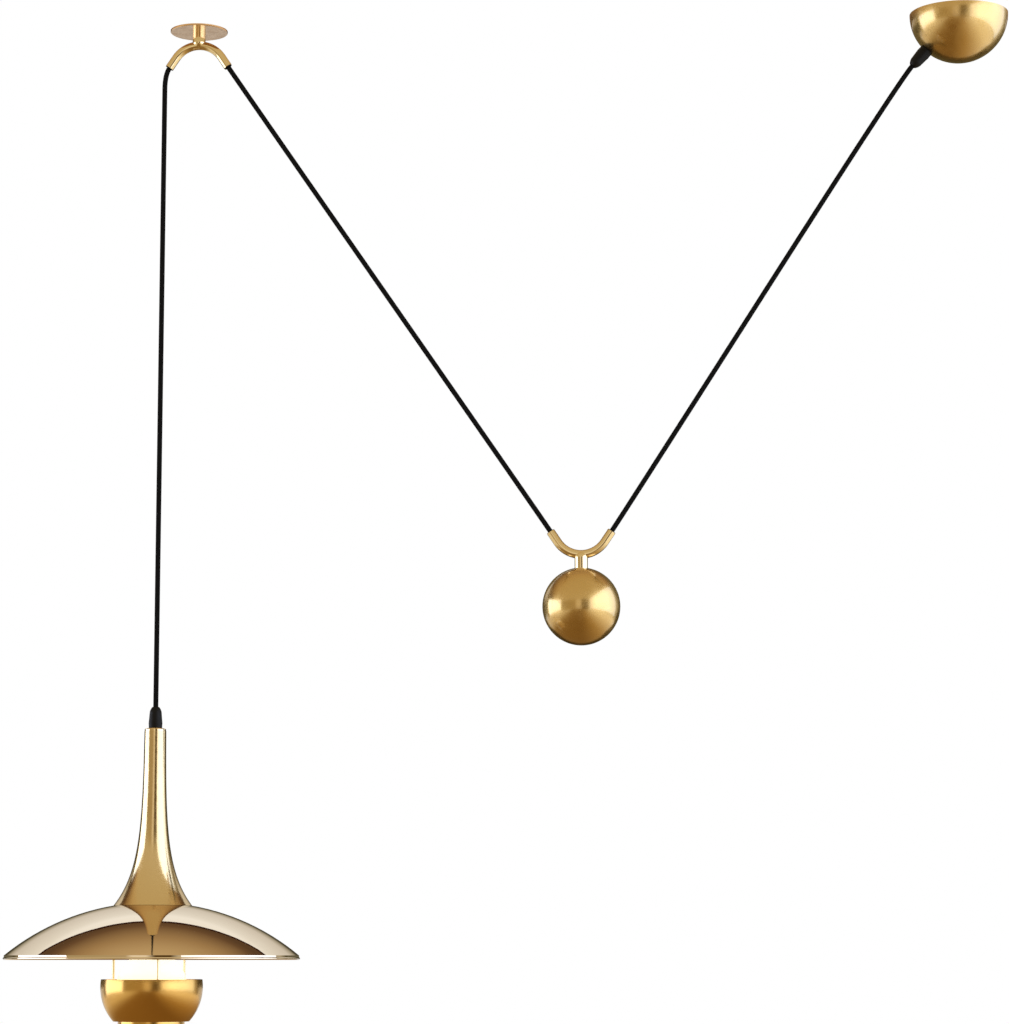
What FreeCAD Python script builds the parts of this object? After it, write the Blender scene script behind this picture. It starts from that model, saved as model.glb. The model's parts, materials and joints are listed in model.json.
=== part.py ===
import FreeCAD, Part
import os
import re
import Sketcher
from FreeCAD import Placement, Rotation, Vector
from math import acos, asin, atan2, ceil, cos, degrees, exp, pi, radians, sin, sqrt, tan

# Rise and fall pendant. Millimetres, +Z up, +X from the ceiling bracket towards the canopy.
# The origin is the middle of the bracket disc's top face, on the ceiling.

DOC = FreeCAD.newDocument("RiseAndFallPendant")
SIZES = DOC.addObject("Spreadsheet::Sheet", "Sizes")

DIMENSIONS = {
    # what goes where
    "canopy_reach": 1060, "lamp_drop": 1294, "weight_reach": 535.5, "saddle_drop": 746.7,
    "bow_drop": 21, "leg_angle": 33.7, "gland_angle": 42,
    # fits shared by many pieces
    "fit_gap": 0.3, "thread_gap": 0.1, "braze_gap": 0.05,
    # textile cord
    "cord_dia": 7, "drop_bend": 37.5, "lead_length": 40, "gland_lead": 25,
    # ceiling bracket
    "disc_dia": 80, "disc_thick": 2.5, "disc_chamfer": 0.6, "stud_dia": 18, "stud_past_tube": 4.5,
    "hanger_dia": 6, "hanger_grip": 9, "spigot_dia": 11,
    # bent cord tubes, one under the ceiling and one on the weight
    "tube_dia": 12, "tube_bore": 10, "tube_bend": 38.5, "tube_leg": 17,
    "liner_wall": 1, "liner_length": 9, "liner_lip": 0.8,
    # weight
    "ball_dia": 106, "ball_wall": 2, "ball_boss_dia": 22, "ball_boss_depth": 5, "ball_drop": 818,
    "seam_ring_wall": 1.6, "seam_ring_height": 9, "ballast_dia": 98, "ballast_height": 58,
    "weight_rod_dia": 8, "weight_nut_width": 13, "weight_nut_height": 6.5, "rod_tail": 4, "rod_entry": 7,
    # canopy and what it holds
    "canopy_dia": 135, "canopy_wall": 1, "strap_width": 16, "strap_thick": 2, "ear_depth": 13,
    "slot_spacing": 60, "slot_width": 4.5, "slot_length": 12, "grub_dia": 4, "grub_depth": 8,
    "grub_length": 8, "block_length": 22, "block_width": 26, "block_height": 13, "block_shift": 8,
    "pole_pitch": 8, "pole_dia": 3.4, "wire_dia": 2, "wire_lead": 9, "tail_length": 10,
    # cord glands
    "gland_dia": 18.8, "gland_base_dia": 18, "gland_tip_dia": 9.4, "gland_height": 29.5,
    "gland_draft": 1.1,
    "gland_thread": 10, "gland_stem": 8, "gland_nut_width": 14, "gland_nut_height": 4,
    # trumpet neck
    "neck_height": 240, "neck_dia": 29, "flare_reach": 38.5, "flare_length": 50, "neck_wall": 0.8,
    "cap_height": 3.5, "cap_chamfer": 1.2, "cap_spigot": 12, "stem_dia": 10, "stem_bore": 7.6, "stem_entry": 5,
    # shade
    "shade_dia": 400, "shade_height": 77.5, "shade_wall": 0.8, "lip_height": 6, "bead_dia": 3.6,
    # spider, rods and bowl
    "spider_dia": 40, "spider_thick": 3, "arm_width": 10, "arm_end": 4.5, "boss_dia": 26,
    "rod_circle": 112, "rod_dia": 3.2, "rod_turn": 18.7, "rod_below_lug": 5,
    "bowl_dia": 138, "bowl_wall": 0.8, "bowl_centre": 36, "bowl_rim": 26, "bowl_floor": 82.2,
    "lug_height": 6, "lug_width": 9, "lug_inset": 4.5, "lug_drop": 44,
    "m3_nut_width": 5.5, "m3_nut_height": 2.4,
    "collar_dia": 90, "collar_bore": 76, "collar_height": 8, "collar_chamfer": 1,
    "collar_spigot_dia": 82, "collar_spigot": 6, "collar_nut_dia": 94, "collar_nut_height": 3,
    # lampholder and bulb
    "stem_nut_width": 14, "stem_nut_height": 4.5, "holder_dia": 38, "holder_wall": 1.6,
    "holder_cap_height": 17, "skirt_height": 20, "insert_wall": 2.6, "insert_crown": 5,
    "bulb_dia": 95, "bulb_length": 135, "bulb_centre": 36, "bulb_wall": 1, "bulb_neck_dia": 27,
    "bulb_cap_dia": 26.2, "bulb_cap_length": 27, "contact_thick": 0.8,
}


def fill_sheet():
    for row, (alias, value) in enumerate(DIMENSIONS.items(), start=1):
        SIZES.set(f"A{row}", alias)
        SIZES.set(f"B{row}", str(value))
        SIZES.setAlias(f"B{row}", alias)
    DOC.recompute()


def bound(text):
    """The expression with the sheet's name before each alias."""
    return re.sub(r"\b([a-z]\w*_\w+)\b", r"Sizes.\1", str(text))


def size(text):
    """The value in millimetres or degrees of an expression on the sheet."""
    return float(SIZES.evalExpression(bound(text)))


fill_sheet()

# ---------------------------------------------------------------- shapes that several pieces use

SHADE_EDGE = "(shade_dia/2 - bead_dia/2 + shade_wall/2)"
CROWN_RISE = "(shade_height - lip_height)"
CROWN_RADIUS = f"(({SHADE_EDGE}^2 + {CROWN_RISE}^2) / (2*{CROWN_RISE}))"
NECK_FOOT = "(neck_dia/2 + flare_reach)"
BALL_SEAT = "(stud_dia/2 + fit_gap)"


def crown_height(radius, depth=0):
    """Height of the shade's crown above the rim, at a distance from the axis and below the skin."""
    crown = size(CROWN_RADIUS)
    return size("shade_height") - crown + sqrt((crown - depth) ** 2 - radius ** 2)


def add(kind, name, **sizes):
    """A Part feature whose properties are bound to expressions on the sheet."""
    piece = DOC.addObject(kind, name)
    for prop, text in sizes.items():
        piece.setExpression(prop, bound(text))
    return piece


def rod(name, radius, length, place):
    piece = add("Part::Cylinder", name, Radius=radius, Height=length)
    piece.Placement = place
    return piece


def joined(name, pieces):
    union = DOC.addObject("Part::MultiFuse", name)
    union.Shapes = pieces
    return union


def cut(name, base, tool):
    piece = DOC.addObject("Part::Cut", name)
    piece.Base = base
    piece.Tool = tool
    return piece


def grouped(name, pieces):
    """Identical solids that share one file."""
    group = DOC.addObject("Part::Compound", name)
    group.Links = pieces
    return group


def at(x=0, y=0, z=0, axis=(0, 0, 1), angle=0):
    return Placement(Vector(x, y, z), Rotation(Vector(*axis), angle))


def arc_geometry(start, end, radius, side):
    """The short arc from start to end whose centre lies left (1) or right (-1) of the way."""
    middle = (start + end) * 0.5
    chord = end - start
    offset = sqrt(max(radius ** 2 - (chord.Length / 2) ** 2, 0))
    centre = middle + Vector(-chord.y, chord.x, 0).normalize() * (offset * side)
    first, last = (start, end) if side > 0 else (end, start)
    begin = atan2(first.y - centre.y, first.x - centre.x)
    finish = atan2(last.y - centre.y, last.x - centre.x)
    if finish < begin:
        finish += 2 * pi
    return Part.ArcOfCircle(Part.Circle(centre, Vector(0, 0, 1), radius), begin, finish)


def pin_corner(sketch, edge, end, axis, text):
    """Ties one coordinate of a corner to the sheet, or lays it on the sketch's own axis."""
    if str(text) == "0":
        sketch.addConstraint(Sketcher.Constraint("PointOnObject", edge, end, -2 if axis == "X" else -1))
        return
    kind = "Distance" + axis
    index = sketch.addConstraint(Sketcher.Constraint(kind, -1, 1, edge, end, size(text)))
    sketch.setExpression(f"Constraints[{index}]", bound(text))


def outline(body, name, corners, plane="XZ_Plane"):
    """A closed sketch. A corner is (x, y), or (x, y, radius, side) where an arc arrives at it."""
    sketch = body.newObject("Sketcher::SketchObject", name)
    origin_plane = next(p for p in body.Origin.OriginFeatures if p.Role == plane)
    sketch.AttachmentSupport = [(origin_plane, "")]
    sketch.MapMode = "FlatFace"
    points = [Vector(size(c[0]), size(c[1]), 0) for c in corners]
    ends = []
    for index, corner in enumerate(corners):
        start = points[index - 1]
        if len(corner) == 2:
            edge = sketch.addGeometry(Part.LineSegment(start, points[index]))
            ends.append((edge, 1, 2))
            continue
        arc = arc_geometry(start, points[index], size(corner[2]), corner[3])
        edge = sketch.addGeometry(arc)
        ends.append((edge, 1, 2) if corner[3] > 0 else (edge, 2, 1))
    for index, (edge, first, last) in enumerate(ends):
        before = ends[index - 1]
        sketch.addConstraint(Sketcher.Constraint("Coincident", before[0], before[2], edge, first))
    for (edge, first, last), corner in zip(ends, corners):
        pin_corner(sketch, edge, last, "X", corner[0])
        pin_corner(sketch, edge, last, "Y", corner[1])
        if len(corner) == 4:
            index = sketch.addConstraint(Sketcher.Constraint("Radius", edge, size(corner[2])))
            sketch.setExpression(f"Constraints[{index}]", bound(corner[2]))
    return sketch


def turned(name, corners, place=None):
    """A piece turned about its own Z axis: corners are (radius, height)."""
    body = DOC.addObject("PartDesign::Body", name)
    sketch = outline(body, name + "_outline", corners)
    turning = body.newObject("PartDesign::Revolution", name + "_turning")
    turning.Profile = sketch
    turning.ReferenceAxis = (sketch, ["V_Axis"])
    turning.Angle = 360
    body.Placement = place or Placement()
    return body


def padded(name, corners, length, plane, place=None):
    """A plate or bar of one outline, padded evenly to both sides of its plane."""
    body = DOC.addObject("PartDesign::Body", name)
    sketch = outline(body, name + "_outline", corners, plane)
    pad = body.newObject("PartDesign::Pad", name + "_pad")
    pad.Profile = sketch
    pad.Midplane = True
    pad.setExpression("Length", bound(length))
    body.Placement = place or Placement()
    return body


def hex_nut(name, width, height, bore, place):
    """A hexagon nut on its base, with a plain bore."""
    blank = add("Part::Prism", name + "_blank", Circumradius=f"{width}/(2*cos(30))", Height=height)
    blank.Polygon = 6
    hole = add("Part::Cylinder", name + "_hole", Radius=f"{bore}/2 + thread_gap", Height=height)
    nut = cut(name, blank, hole)
    nut.Placement = place
    return nut


def bent_rod(name, radius, place, past_end=0):
    """A round bar on the bent tube's centreline: top of the bow at the origin, legs down."""
    lean = size("leg_angle")
    bend = size("tube_bend")
    arc = add("Part::Torus", name + "_bend", Radius1="tube_bend", Radius2=radius)
    arc.setExpression("Angle3", bound("180 - 2*leg_angle"))
    upright = Rotation(Vector(1, 0, 0), 90).multiply(Rotation(Vector(0, 0, 1), lean))
    arc.Placement = Placement(Vector(0, 0, -bend), upright)
    legs = []
    for side in (-1, 1):
        end = Vector(side * bend * cos(radians(lean)), 0, bend * (sin(radians(lean)) - 1))
        down = Placement(end, Rotation(Vector(0, 1, 0), side * (180 - lean)))
        leg = rod(f"{name}_leg{side + 1}", radius, f"tube_leg + {past_end}", down)
        legs.append(leg)
    bar = joined(name, [legs[0], arc, legs[1]])
    bar.Placement = place
    return bar


# ---------------------------------------------------------------- places worked out from the sizes

HALF_SPAN = size("tube_bend*cos(leg_angle) + tube_leg*sin(leg_angle)")
BOW_DEPTH = size("tube_bend*(1 - sin(leg_angle)) + tube_leg*cos(leg_angle)")
LEAN = radians(size("leg_angle"))
LAMP_X = -(HALF_SPAN + size("drop_bend") * (1 - cos(LEAN)))
LAMP = at(LAMP_X, 0, -size("lamp_drop"))
BRACKET_BOW = at(0, 0, -size("bow_drop"))
SADDLE_BOW = at(size("weight_reach"), 0, -size("saddle_drop"), (0, 1, 0), 180)
BALL = at(size("weight_reach"), 0, -size("ball_drop"))
CANOPY = at(size("canopy_reach"))
TILT = radians(size("gland_angle"))
GLAND_WAY = Vector(-sin(TILT), 0, -cos(TILT))
NECK_BASE = crown_height(size(f"{NECK_FOOT} - neck_wall")) + size("braze_gap")
NECK_TOP = NECK_BASE + size("neck_height")


def on_lamp(height, x=0, y=0, axis=(0, 0, 1), angle=0):
    """A place on the lamp, measured up from the shade's rim on the lamp's axis."""
    return LAMP.multiply(at(x, y, height, axis, angle))


def mouth(bow, side):
    """Centre of a bent tube's mouth and the way the cord leaves it; side is -1 or 1 along X."""
    flipped = bow.Rotation.multVec(Vector(0, 0, 1)).z
    centre = bow.Base + Vector(side * HALF_SPAN, 0, -BOW_DEPTH * flipped)
    return centre, Vector(side * sin(LEAN), 0, -cos(LEAN) * flipped)


# ---------------------------------------------------------------- ceiling bracket

def bracket_disc():
    hole = "spigot_dia/2 + braze_gap"
    edge = "disc_dia/2"
    return turned("bracket_disc", [
        (hole, "0"), (hole, "-disc_thick"), (f"{edge} - disc_chamfer", "-disc_thick"),
        (edge, "-disc_thick + disc_chamfer"), (edge, "0")])


def coped_stud(name, foot, length, hole_dia, hole_depth, place, bow_place):
    """A turned stud with a blind threaded hole in its foot, coped over the bent tube it carries.

    foot holds the profile's corners from the hole's mouth to the outside of the flat foot.
    """
    shoulder = f"{length} - stud_dia/2"
    bore = f"{hole_dia}/2 + thread_gap"
    blank = turned(name + "_blank", foot + [
        ("stud_dia/2", shoulder), ("0", length, "stud_dia/2", 1), ("0", hole_depth),
        (bore, hole_depth)], place)
    return cut(name, blank, bent_rod(name + "_cope", "tube_dia/2 + braze_gap", bow_place))


def bracket_stud():
    """The stud's spigot is riveted through the disc; a stud screw in the ceiling enters its hole."""
    bore = "hanger_dia/2 + thread_gap"
    foot = [(bore, "-disc_thick"), ("spigot_dia/2", "-disc_thick"), ("spigot_dia/2", "0"),
            ("stud_dia/2", "0")]
    length = "bow_drop - disc_thick + stud_past_tube"
    place = at(0, 0, -size("disc_thick"), (1, 0, 0), 180)
    return coped_stud("bracket_stud", foot, length, "hanger_dia", "hanger_grip", place, BRACKET_BOW)


def bent_tube(name, bow):
    outside = bent_rod(name + "_outside", "tube_dia/2", bow)
    bore = bent_rod(name + "_bore", "tube_bore/2", bow, past_end=1)
    return cut(name, outside, bore)


def mouth_liners(name, bow):
    """A flanged sleeve in each mouth, so that the edge doesn't chafe the braid."""
    liners = []
    for side in (-1, 1):
        centre, way = mouth(bow, side)
        place = Placement(centre, Rotation(Vector(0, 0, 1), way))
        inner = "cord_dia/2 + fit_gap/2"
        sleeve = "tube_bore/2 - braze_gap"
        lip = "tube_dia/2 - 0.4"
        liners.append(turned(f"{name}_{side + 1}", [
            (inner, "-liner_length"), (sleeve, "-liner_length"), (sleeve, "0"), (lip, "0"),
            (lip, "liner_lip"), (inner, "liner_lip")], place))
    return grouped(name, liners)


# ---------------------------------------------------------------- weight

def saddle_stud():
    seat = size(f"sqrt((ball_dia/2)^2 - {BALL_SEAT}^2)")
    length = f"ball_drop - saddle_drop + stud_past_tube - {seat}"
    foot = [("weight_rod_dia/2 + thread_gap", "0"), ("stud_dia/2", "0")]
    place = BALL.multiply(at(0, 0, seat))
    return coped_stud("saddle_stud", foot, length, "weight_rod_dia", "rod_entry + 1", place,
                      SADDLE_BOW)


def ball_upper_half():
    """The half with a flat seat for the stud and a boss inside for the nut."""
    outer = "ball_dia/2"
    inner = "(ball_dia/2 - ball_wall)"
    hole = "weight_rod_dia/2 + fit_gap"
    seat = f"sqrt(({outer})^2 - {BALL_SEAT}^2)"
    boss = "ball_boss_dia/2"
    boss_top = f"sqrt({inner}^2 - ({boss})^2)"
    boss_foot = f"{seat} - ball_boss_depth"
    return turned("ball_upper_half", [
        (inner, "0", inner, -1), (outer, "0"), (BALL_SEAT, seat, outer, 1), (hole, seat),
        (hole, boss_foot), (boss, boss_foot), (boss, boss_top)], BALL)


def ball_lower_half():
    outer = "ball_dia/2"
    inner = "(ball_dia/2 - ball_wall)"
    return turned("ball_lower_half", [
        (outer, "0", outer, 1), (inner, "0"), ("0", f"-{inner}", inner, -1),
        ("0", f"-{outer}")], BALL)


def seam_ring():
    """A ring inside the seam that lines the two halves up."""
    foot = "seam_ring_height/2"
    outer = "(ball_dia/2 - ball_wall)"
    edge = f"sqrt({outer}^2 - ({foot})^2) - braze_gap"
    inner = f"{outer} - seam_ring_wall"
    return turned("seam_ring", [
        (inner, f"-{foot}"), (edge, f"-{foot}"), (edge, foot, f"{outer} - braze_gap", 1),
        (inner, foot)], BALL)


def ball_ballast():
    hole = "weight_rod_dia/2 + fit_gap"
    half = "ballast_height/2"
    edge = "sqrt((ballast_dia/2)^2 - (ballast_height/2)^2)"
    return turned("ball_ballast", [
        (hole, f"-{half}"), (edge, f"-{half}"), (edge, half, "ballast_dia/2", 1), (hole, half)], BALL)


BOSS_FOOT = f"(sqrt((ball_dia/2)^2 - {BALL_SEAT}^2) - ball_boss_depth)"


def weight_rod():
    top = f"{BOSS_FOOT} + ball_boss_depth + rod_entry"
    foot = "-(ballast_height/2 + weight_nut_height + rod_tail)"
    return turned("weight_rod", [
        ("0", foot), ("weight_rod_dia/2", foot), ("weight_rod_dia/2", top), ("0", top)], BALL)


def weight_nuts():
    """One nut clamps the ball to the stud, the other carries the ballast."""
    heights = (size(f"{BOSS_FOOT} - weight_nut_height"), size("-ballast_height/2 - weight_nut_height"))
    nuts = [hex_nut(f"weight_nut_{index}", "weight_nut_width", "weight_nut_height", "weight_rod_dia",
                    BALL.multiply(at(0, 0, height))) for index, height in enumerate(heights)]
    return grouped("weight_nuts", nuts)


def ballast_spacer():
    """The sleeve that keeps the ballast in the middle of the ball."""
    inner = "weight_rod_dia/2 + fit_gap"
    return turned("ballast_spacer", [
        (inner, "ballast_height/2"), (f"{inner} + 2", "ballast_height/2"),
        (f"{inner} + 2", f"{BOSS_FOOT} - weight_nut_height"),
        (inner, f"{BOSS_FOOT} - weight_nut_height")], BALL)


# ---------------------------------------------------------------- canopy

def canopy_shell():
    outer = add("Part::Sphere", "canopy_outside", Radius="canopy_dia/2")
    inner = add("Part::Sphere", "canopy_inside", Radius="canopy_dia/2 - canopy_wall")
    for ball in (outer, inner):
        ball.Angle1 = -90
        ball.Angle2 = 0
    hollow = cut("canopy_hollow", outer, inner)
    way = Rotation(Vector(0, 0, 1), GLAND_WAY)
    holes = [rod("canopy_gland_hole", "gland_thread/2 + thread_gap", "canopy_dia",
                 Placement(Vector(), way))]
    across = at(-size("canopy_dia"), 0, -size("grub_depth"), (0, 1, 0), 90)
    holes.append(rod("canopy_grub_holes", "grub_dia/2 + thread_gap", "2*canopy_dia", across))
    shell = cut("canopy_shell", hollow, joined("canopy_holes", holes))
    shell.Placement = CANOPY
    return shell


EAR_REACH = ("(sqrt((canopy_dia/2 - canopy_wall)^2 - ear_depth^2 - (strap_width/2)^2) - fit_gap)")


def canopy_strap():
    """The bar that is screwed to the ceiling, with an ear at each end for the canopy's screw."""
    inside = f"({EAR_REACH} - strap_thick)"
    bar = padded("strap_bar", [
        (f"-{EAR_REACH}", "0"), (f"-{EAR_REACH}", "-ear_depth"), (f"-{inside}", "-ear_depth"),
        (f"-{inside}", "-strap_thick"), (inside, "-strap_thick"), (inside, "-ear_depth"),
        (EAR_REACH, "-ear_depth"), (EAR_REACH, "0")], "strap_width", "XZ_Plane")
    cuts = [rod("strap_grub_holes", "grub_dia/2 + thread_gap", "2*canopy_dia",
                at(-size("canopy_dia"), 0, -size("grub_depth"), (0, 1, 0), 90))]
    for side in (-1, 1):
        middle = side * size("slot_spacing") / 2
        half_run = size("(slot_length - slot_width)/2")
        low = -2 * size("strap_thick")
        box = add("Part::Box", f"slot_box_{side + 1}", Length="slot_length - slot_width",
                  Width="slot_width", Height="4*strap_thick")
        box.Placement = at(middle - half_run, -size("slot_width") / 2, low)
        cuts.append(box)
        cuts += [rod(f"slot_end_{side + 1}_{end + 1}", "slot_width/2", "4*strap_thick",
                     at(middle + end * half_run, 0, low)) for end in (-1, 1)]
    strap = cut("canopy_strap", bar, joined("strap_cuts", cuts))
    strap.Placement = CANOPY
    return strap


def canopy_screws():
    """Two grub screws through the canopy's rim into the ears, each with a hexagon socket."""
    screws = []
    for side in (-1, 1):
        blank = add("Part::Cylinder", f"grub_blank_{side + 1}", Radius="grub_dia/2", Height="grub_length")
        socket = add("Part::Prism", f"grub_socket_{side + 1}", Circumradius="grub_dia/4",
                     Height="grub_length/3")
        screw = cut(f"canopy_screw_{side + 1}", blank, socket)
        start = size("sqrt((canopy_dia/2)^2 - grub_depth^2)")
        screw.Placement = CANOPY.multiply(
            at(side * start, 0, -size("grub_depth"), (0, 1, 0), -90 * side))
        screws.append(screw)
    return grouped("canopy_screws", screws)


def terminal_block():
    """A three-pole block under the strap; each pole is a bore with a clamping screw's well."""
    body = add("Part::Box", "block_body", Length="block_length", Width="block_width",
               Height="block_height")
    body.Placement = at(0, -size("block_width") / 2, -size("block_height"))
    wells = []
    for pole in (-1, 0, 1):
        y = pole * size("pole_pitch")
        wells.append(rod(f"pole_bore_{pole + 1}", "pole_dia/2", "block_length + 2",
                         at(-1, y, -size("block_height") / 2, (0, 1, 0), 90)))
        for end in (0.25, 0.75):
            wells.append(rod(f"pole_well_{pole + 1}_{int(end * 4)}", "pole_dia/2 + 0.4",
                             "block_height/2", at(size("block_length") * end, y, -size("block_height"))))
    block = cut("terminal_block", body, joined("block_wells", wells))
    block.Placement = CANOPY.multiply(at(-size("block_shift"), 0, -size("strap_thick")))
    return block


# ---------------------------------------------------------------- cord glands

def cord_gland(name, place):
    """A tapered plastic strain relief on its threaded stem, standing on its base."""
    waist = "gland_height*0.25"
    shoulder = "gland_height*0.68"
    return turned(name, [
        ("0", "-gland_stem"), ("gland_thread/2", "-gland_stem"), ("gland_thread/2", "0"),
        ("gland_base_dia/2", "0"), ("gland_dia/2", waist),
        ("gland_dia/2 - gland_draft", shoulder),
        ("gland_tip_dia/2", "gland_height", "gland_height*0.5", 1), ("0", "gland_height")], place)


def radial_place(distance):
    """A place on the gland's line through the canopy's centre, facing outwards."""
    return Placement(CANOPY.Base + GLAND_WAY * distance, Rotation(Vector(0, 0, 1), GLAND_WAY))


def canopy_gland():
    seat = size("sqrt((canopy_dia/2)^2 - (gland_thread/2)^2)")
    blank = cord_gland("canopy_gland_blank", radial_place(seat))
    ball = add("Part::Sphere", "gland_seat", Radius="canopy_dia/2 + braze_gap")
    ball.Placement = CANOPY
    stem = rod("canopy_gland_stem", "gland_thread/2", "gland_stem + 2",
               radial_place(seat - size("gland_stem")))
    return joined("canopy_gland", [cut("canopy_gland_head", blank, ball), stem])


def canopy_gland_nut():
    inner = size("canopy_dia/2 - canopy_wall")
    flat = sqrt(inner ** 2 - size("gland_nut_width/(2*cos(30))") ** 2)
    place = radial_place(flat - size("gland_nut_height + braze_gap"))
    return hex_nut("canopy_gland_nut", "gland_nut_width", "gland_nut_height", "gland_thread", place)


# ---------------------------------------------------------------- lamp: neck and shade

def flare(height):
    """Radius of the trumpet, a steadily dying curve, at a height above its foot."""
    return size("neck_dia/2") + size("flare_reach") * exp(-height / size("flare_length"))


def flare_normal(height):
    slope = -(flare(height) - size("neck_dia/2")) / size("flare_length")
    return Vector(1, 0, -slope).normalize()


def neck():
    """Spun trumpet: the outer curve follows the flare, the inner one lies a wall behind it."""
    tube_height = size("neck_height - cap_height")
    samples = 12
    heights = [tube_height * (index / samples) ** 1.6 for index in range(samples + 1)]
    outer = [Vector(flare(h), 0, h) for h in heights]
    inner = [p - flare_normal(h) * size("neck_wall") for p, h in zip(outer, heights)]
    inner[0] = Vector(inner[0].x, 0, 0)
    inner[-1] = Vector(size("neck_dia/2 - neck_wall"), 0, tube_height)
    outside = Part.BSplineCurve()
    outside.interpolate(outer)
    inside = Part.BSplineCurve()
    inside.interpolate(inner)
    foot = Part.LineSegment(inner[0], outer[0])
    top = Part.LineSegment(outer[-1], inner[-1])
    wire = Part.Wire([foot.toShape(), outside.toShape(), top.toShape(), inside.toShape().reversed()])
    piece = DOC.addObject("Part::Feature", "neck")
    piece.Shape = Part.Face(wire).revolve(Vector(), Vector(0, 0, 1), 360)
    piece.Placement = on_lamp(NECK_BASE)
    return piece


def neck_cap():
    """The turned plug that closes the trumpet and takes the gland and the stem."""
    bore = "gland_thread/2 + thread_gap"
    spigot = "neck_dia/2 - neck_wall - braze_gap"
    edge = "neck_dia/2"
    return turned("neck_cap", [
        (bore, "-cap_spigot"), (spigot, "-cap_spigot"), (spigot, "0"), (edge, "0"),
        (edge, "cap_height - cap_chamfer"), (f"{edge} - cap_chamfer", "cap_height"),
        (bore, "cap_height")], on_lamp(NECK_TOP - size("cap_height")))


SPIDER_TOP = crown_height(size("rod_circle/2 + arm_end"), size("shade_wall")) - size("braze_gap")
SPIDER_FOOT = SPIDER_TOP - size("spider_thick")
HOLDER_TOP = SPIDER_FOOT - size("stem_nut_height")


def stem_tube():
    """Threaded tube from the cap down to the lampholder; the cord's cores run inside it."""
    top = NECK_TOP - size("gland_stem") - 0.5
    foot = HOLDER_TOP - size("stem_entry")
    return turned("stem_tube", [
        ("stem_bore/2", str(foot)), ("stem_dia/2", str(foot)), ("stem_dia/2", str(top)),
        ("stem_bore/2", str(top))], LAMP)


def shade():
    """Spun dome with a short turned-down lip that ends in a bead."""
    bead = "bead_dia/2"
    outer = SHADE_EDGE
    inner = f"({SHADE_EDGE} - shade_wall)"
    crown_inner = f"({CROWN_RADIUS} - shade_wall)"
    hole = "stem_dia/2 + thread_gap"
    crown_foot = f"(shade_height - {CROWN_RADIUS})"
    inner_edge = f"{crown_foot} + sqrt({crown_inner}^2 - {inner}^2)"
    skin = turned("shade_skin", [
        (hole, f"{crown_foot} + sqrt({CROWN_RADIUS}^2 - ({hole})^2)"),
        (outer, "lip_height", CROWN_RADIUS, -1), (outer, bead), (inner, bead), (inner, inner_edge),
        (hole, f"{crown_foot} + sqrt({crown_inner}^2 - ({hole})^2)", crown_inner, 1)], LAMP)
    rim = add("Part::Torus", "shade_bead", Radius1=f"shade_dia/2 - {bead}", Radius2=bead)
    rim.Placement = on_lamp(size(bead))
    return joined("shade", [skin, rim])


def spider():
    """Three arms on a hub under the crown, with a boss that takes the crown's middle."""
    top = str(SPIDER_TOP)
    plate = [rod("spider_hub", "spider_dia/2", "spider_thick", at(0, 0, SPIDER_FOOT))]
    boss_top = crown_height(size("boss_dia/2"), size("shade_wall")) - size("braze_gap")
    plate.append(rod("spider_boss", "boss_dia/2", f"{boss_top} - {top}", at(0, 0, SPIDER_TOP)))
    holes = [rod("spider_bore", "stem_dia/2 + thread_gap", "shade_height", Placement())]
    for index in range(3):
        turn = at(0, 0, 0, (0, 0, 1), rod_angle(index))
        arm = add("Part::Box", f"spider_arm_{index}", Length="rod_circle/2 + arm_end",
                  Width="arm_width", Height="spider_thick")
        arm.Placement = turn.multiply(at(0, -size("arm_width") / 2, SPIDER_FOOT))
        hole = rod(f"spider_hole_{index}", "rod_dia/2 + thread_gap", "shade_height",
                   turn.multiply(at(size("rod_circle/2"))))
        plate.append(arm)
        holes.append(hole)
    blank = joined("spider_blank", plate)
    within = add("Part::Cylinder", "spider_trim", Radius="rod_circle/2 + arm_end", Height="shade_height")
    trimmed = DOC.addObject("Part::Common", "spider_trimmed")
    trimmed.Base = blank
    trimmed.Tool = within
    piece = cut("spider", trimmed, joined("spider_holes", holes))
    piece.Placement = LAMP
    return piece


def rod_angle(index):
    """Direction of a support rod about the lamp's axis, from +X; the first stands near the front."""
    return -90 + size("rod_turn") + 120 * index


def around_lamp(index, height, inwards=0):
    """A place on the circle of the rods, turned to face outwards."""
    turn = on_lamp(0, angle=rod_angle(index))
    return turn.multiply(at(size("rod_circle/2") - inwards, 0, height))


def support_rods():
    foot = -size("lug_drop + rod_below_lug")
    length = SPIDER_TOP - foot
    rods = [rod(f"support_rod_{index}", "rod_dia/2", length, around_lamp(index, foot))
            for index in range(3)]
    return grouped("support_rods", rods)


# ---------------------------------------------------------------- lamp: bowl and collar

def bowl():
    """Spun bowl below the shade: a slice of a sphere with a holed floor."""
    outer = "bowl_dia/2"
    inner = "(bowl_dia/2 - bowl_wall)"
    rise = "(bowl_centre - bowl_rim)"
    fall = "(bowl_floor - bowl_centre)"
    hole = "collar_spigot_dia/2 + thread_gap"
    return turned("bowl", [
        (hole, "-bowl_floor"), (f"sqrt(({outer})^2 - {fall}^2)", "-bowl_floor"),
        (f"sqrt(({outer})^2 - {rise}^2)", "-bowl_rim", outer, 1),
        (f"sqrt({inner}^2 - {rise}^2)", "-bowl_rim"),
        (f"sqrt({inner}^2 - ({fall} - bowl_wall)^2)", "-bowl_floor + bowl_wall", inner, -1),
        (hole, "-bowl_floor + bowl_wall")], LAMP)


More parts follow.
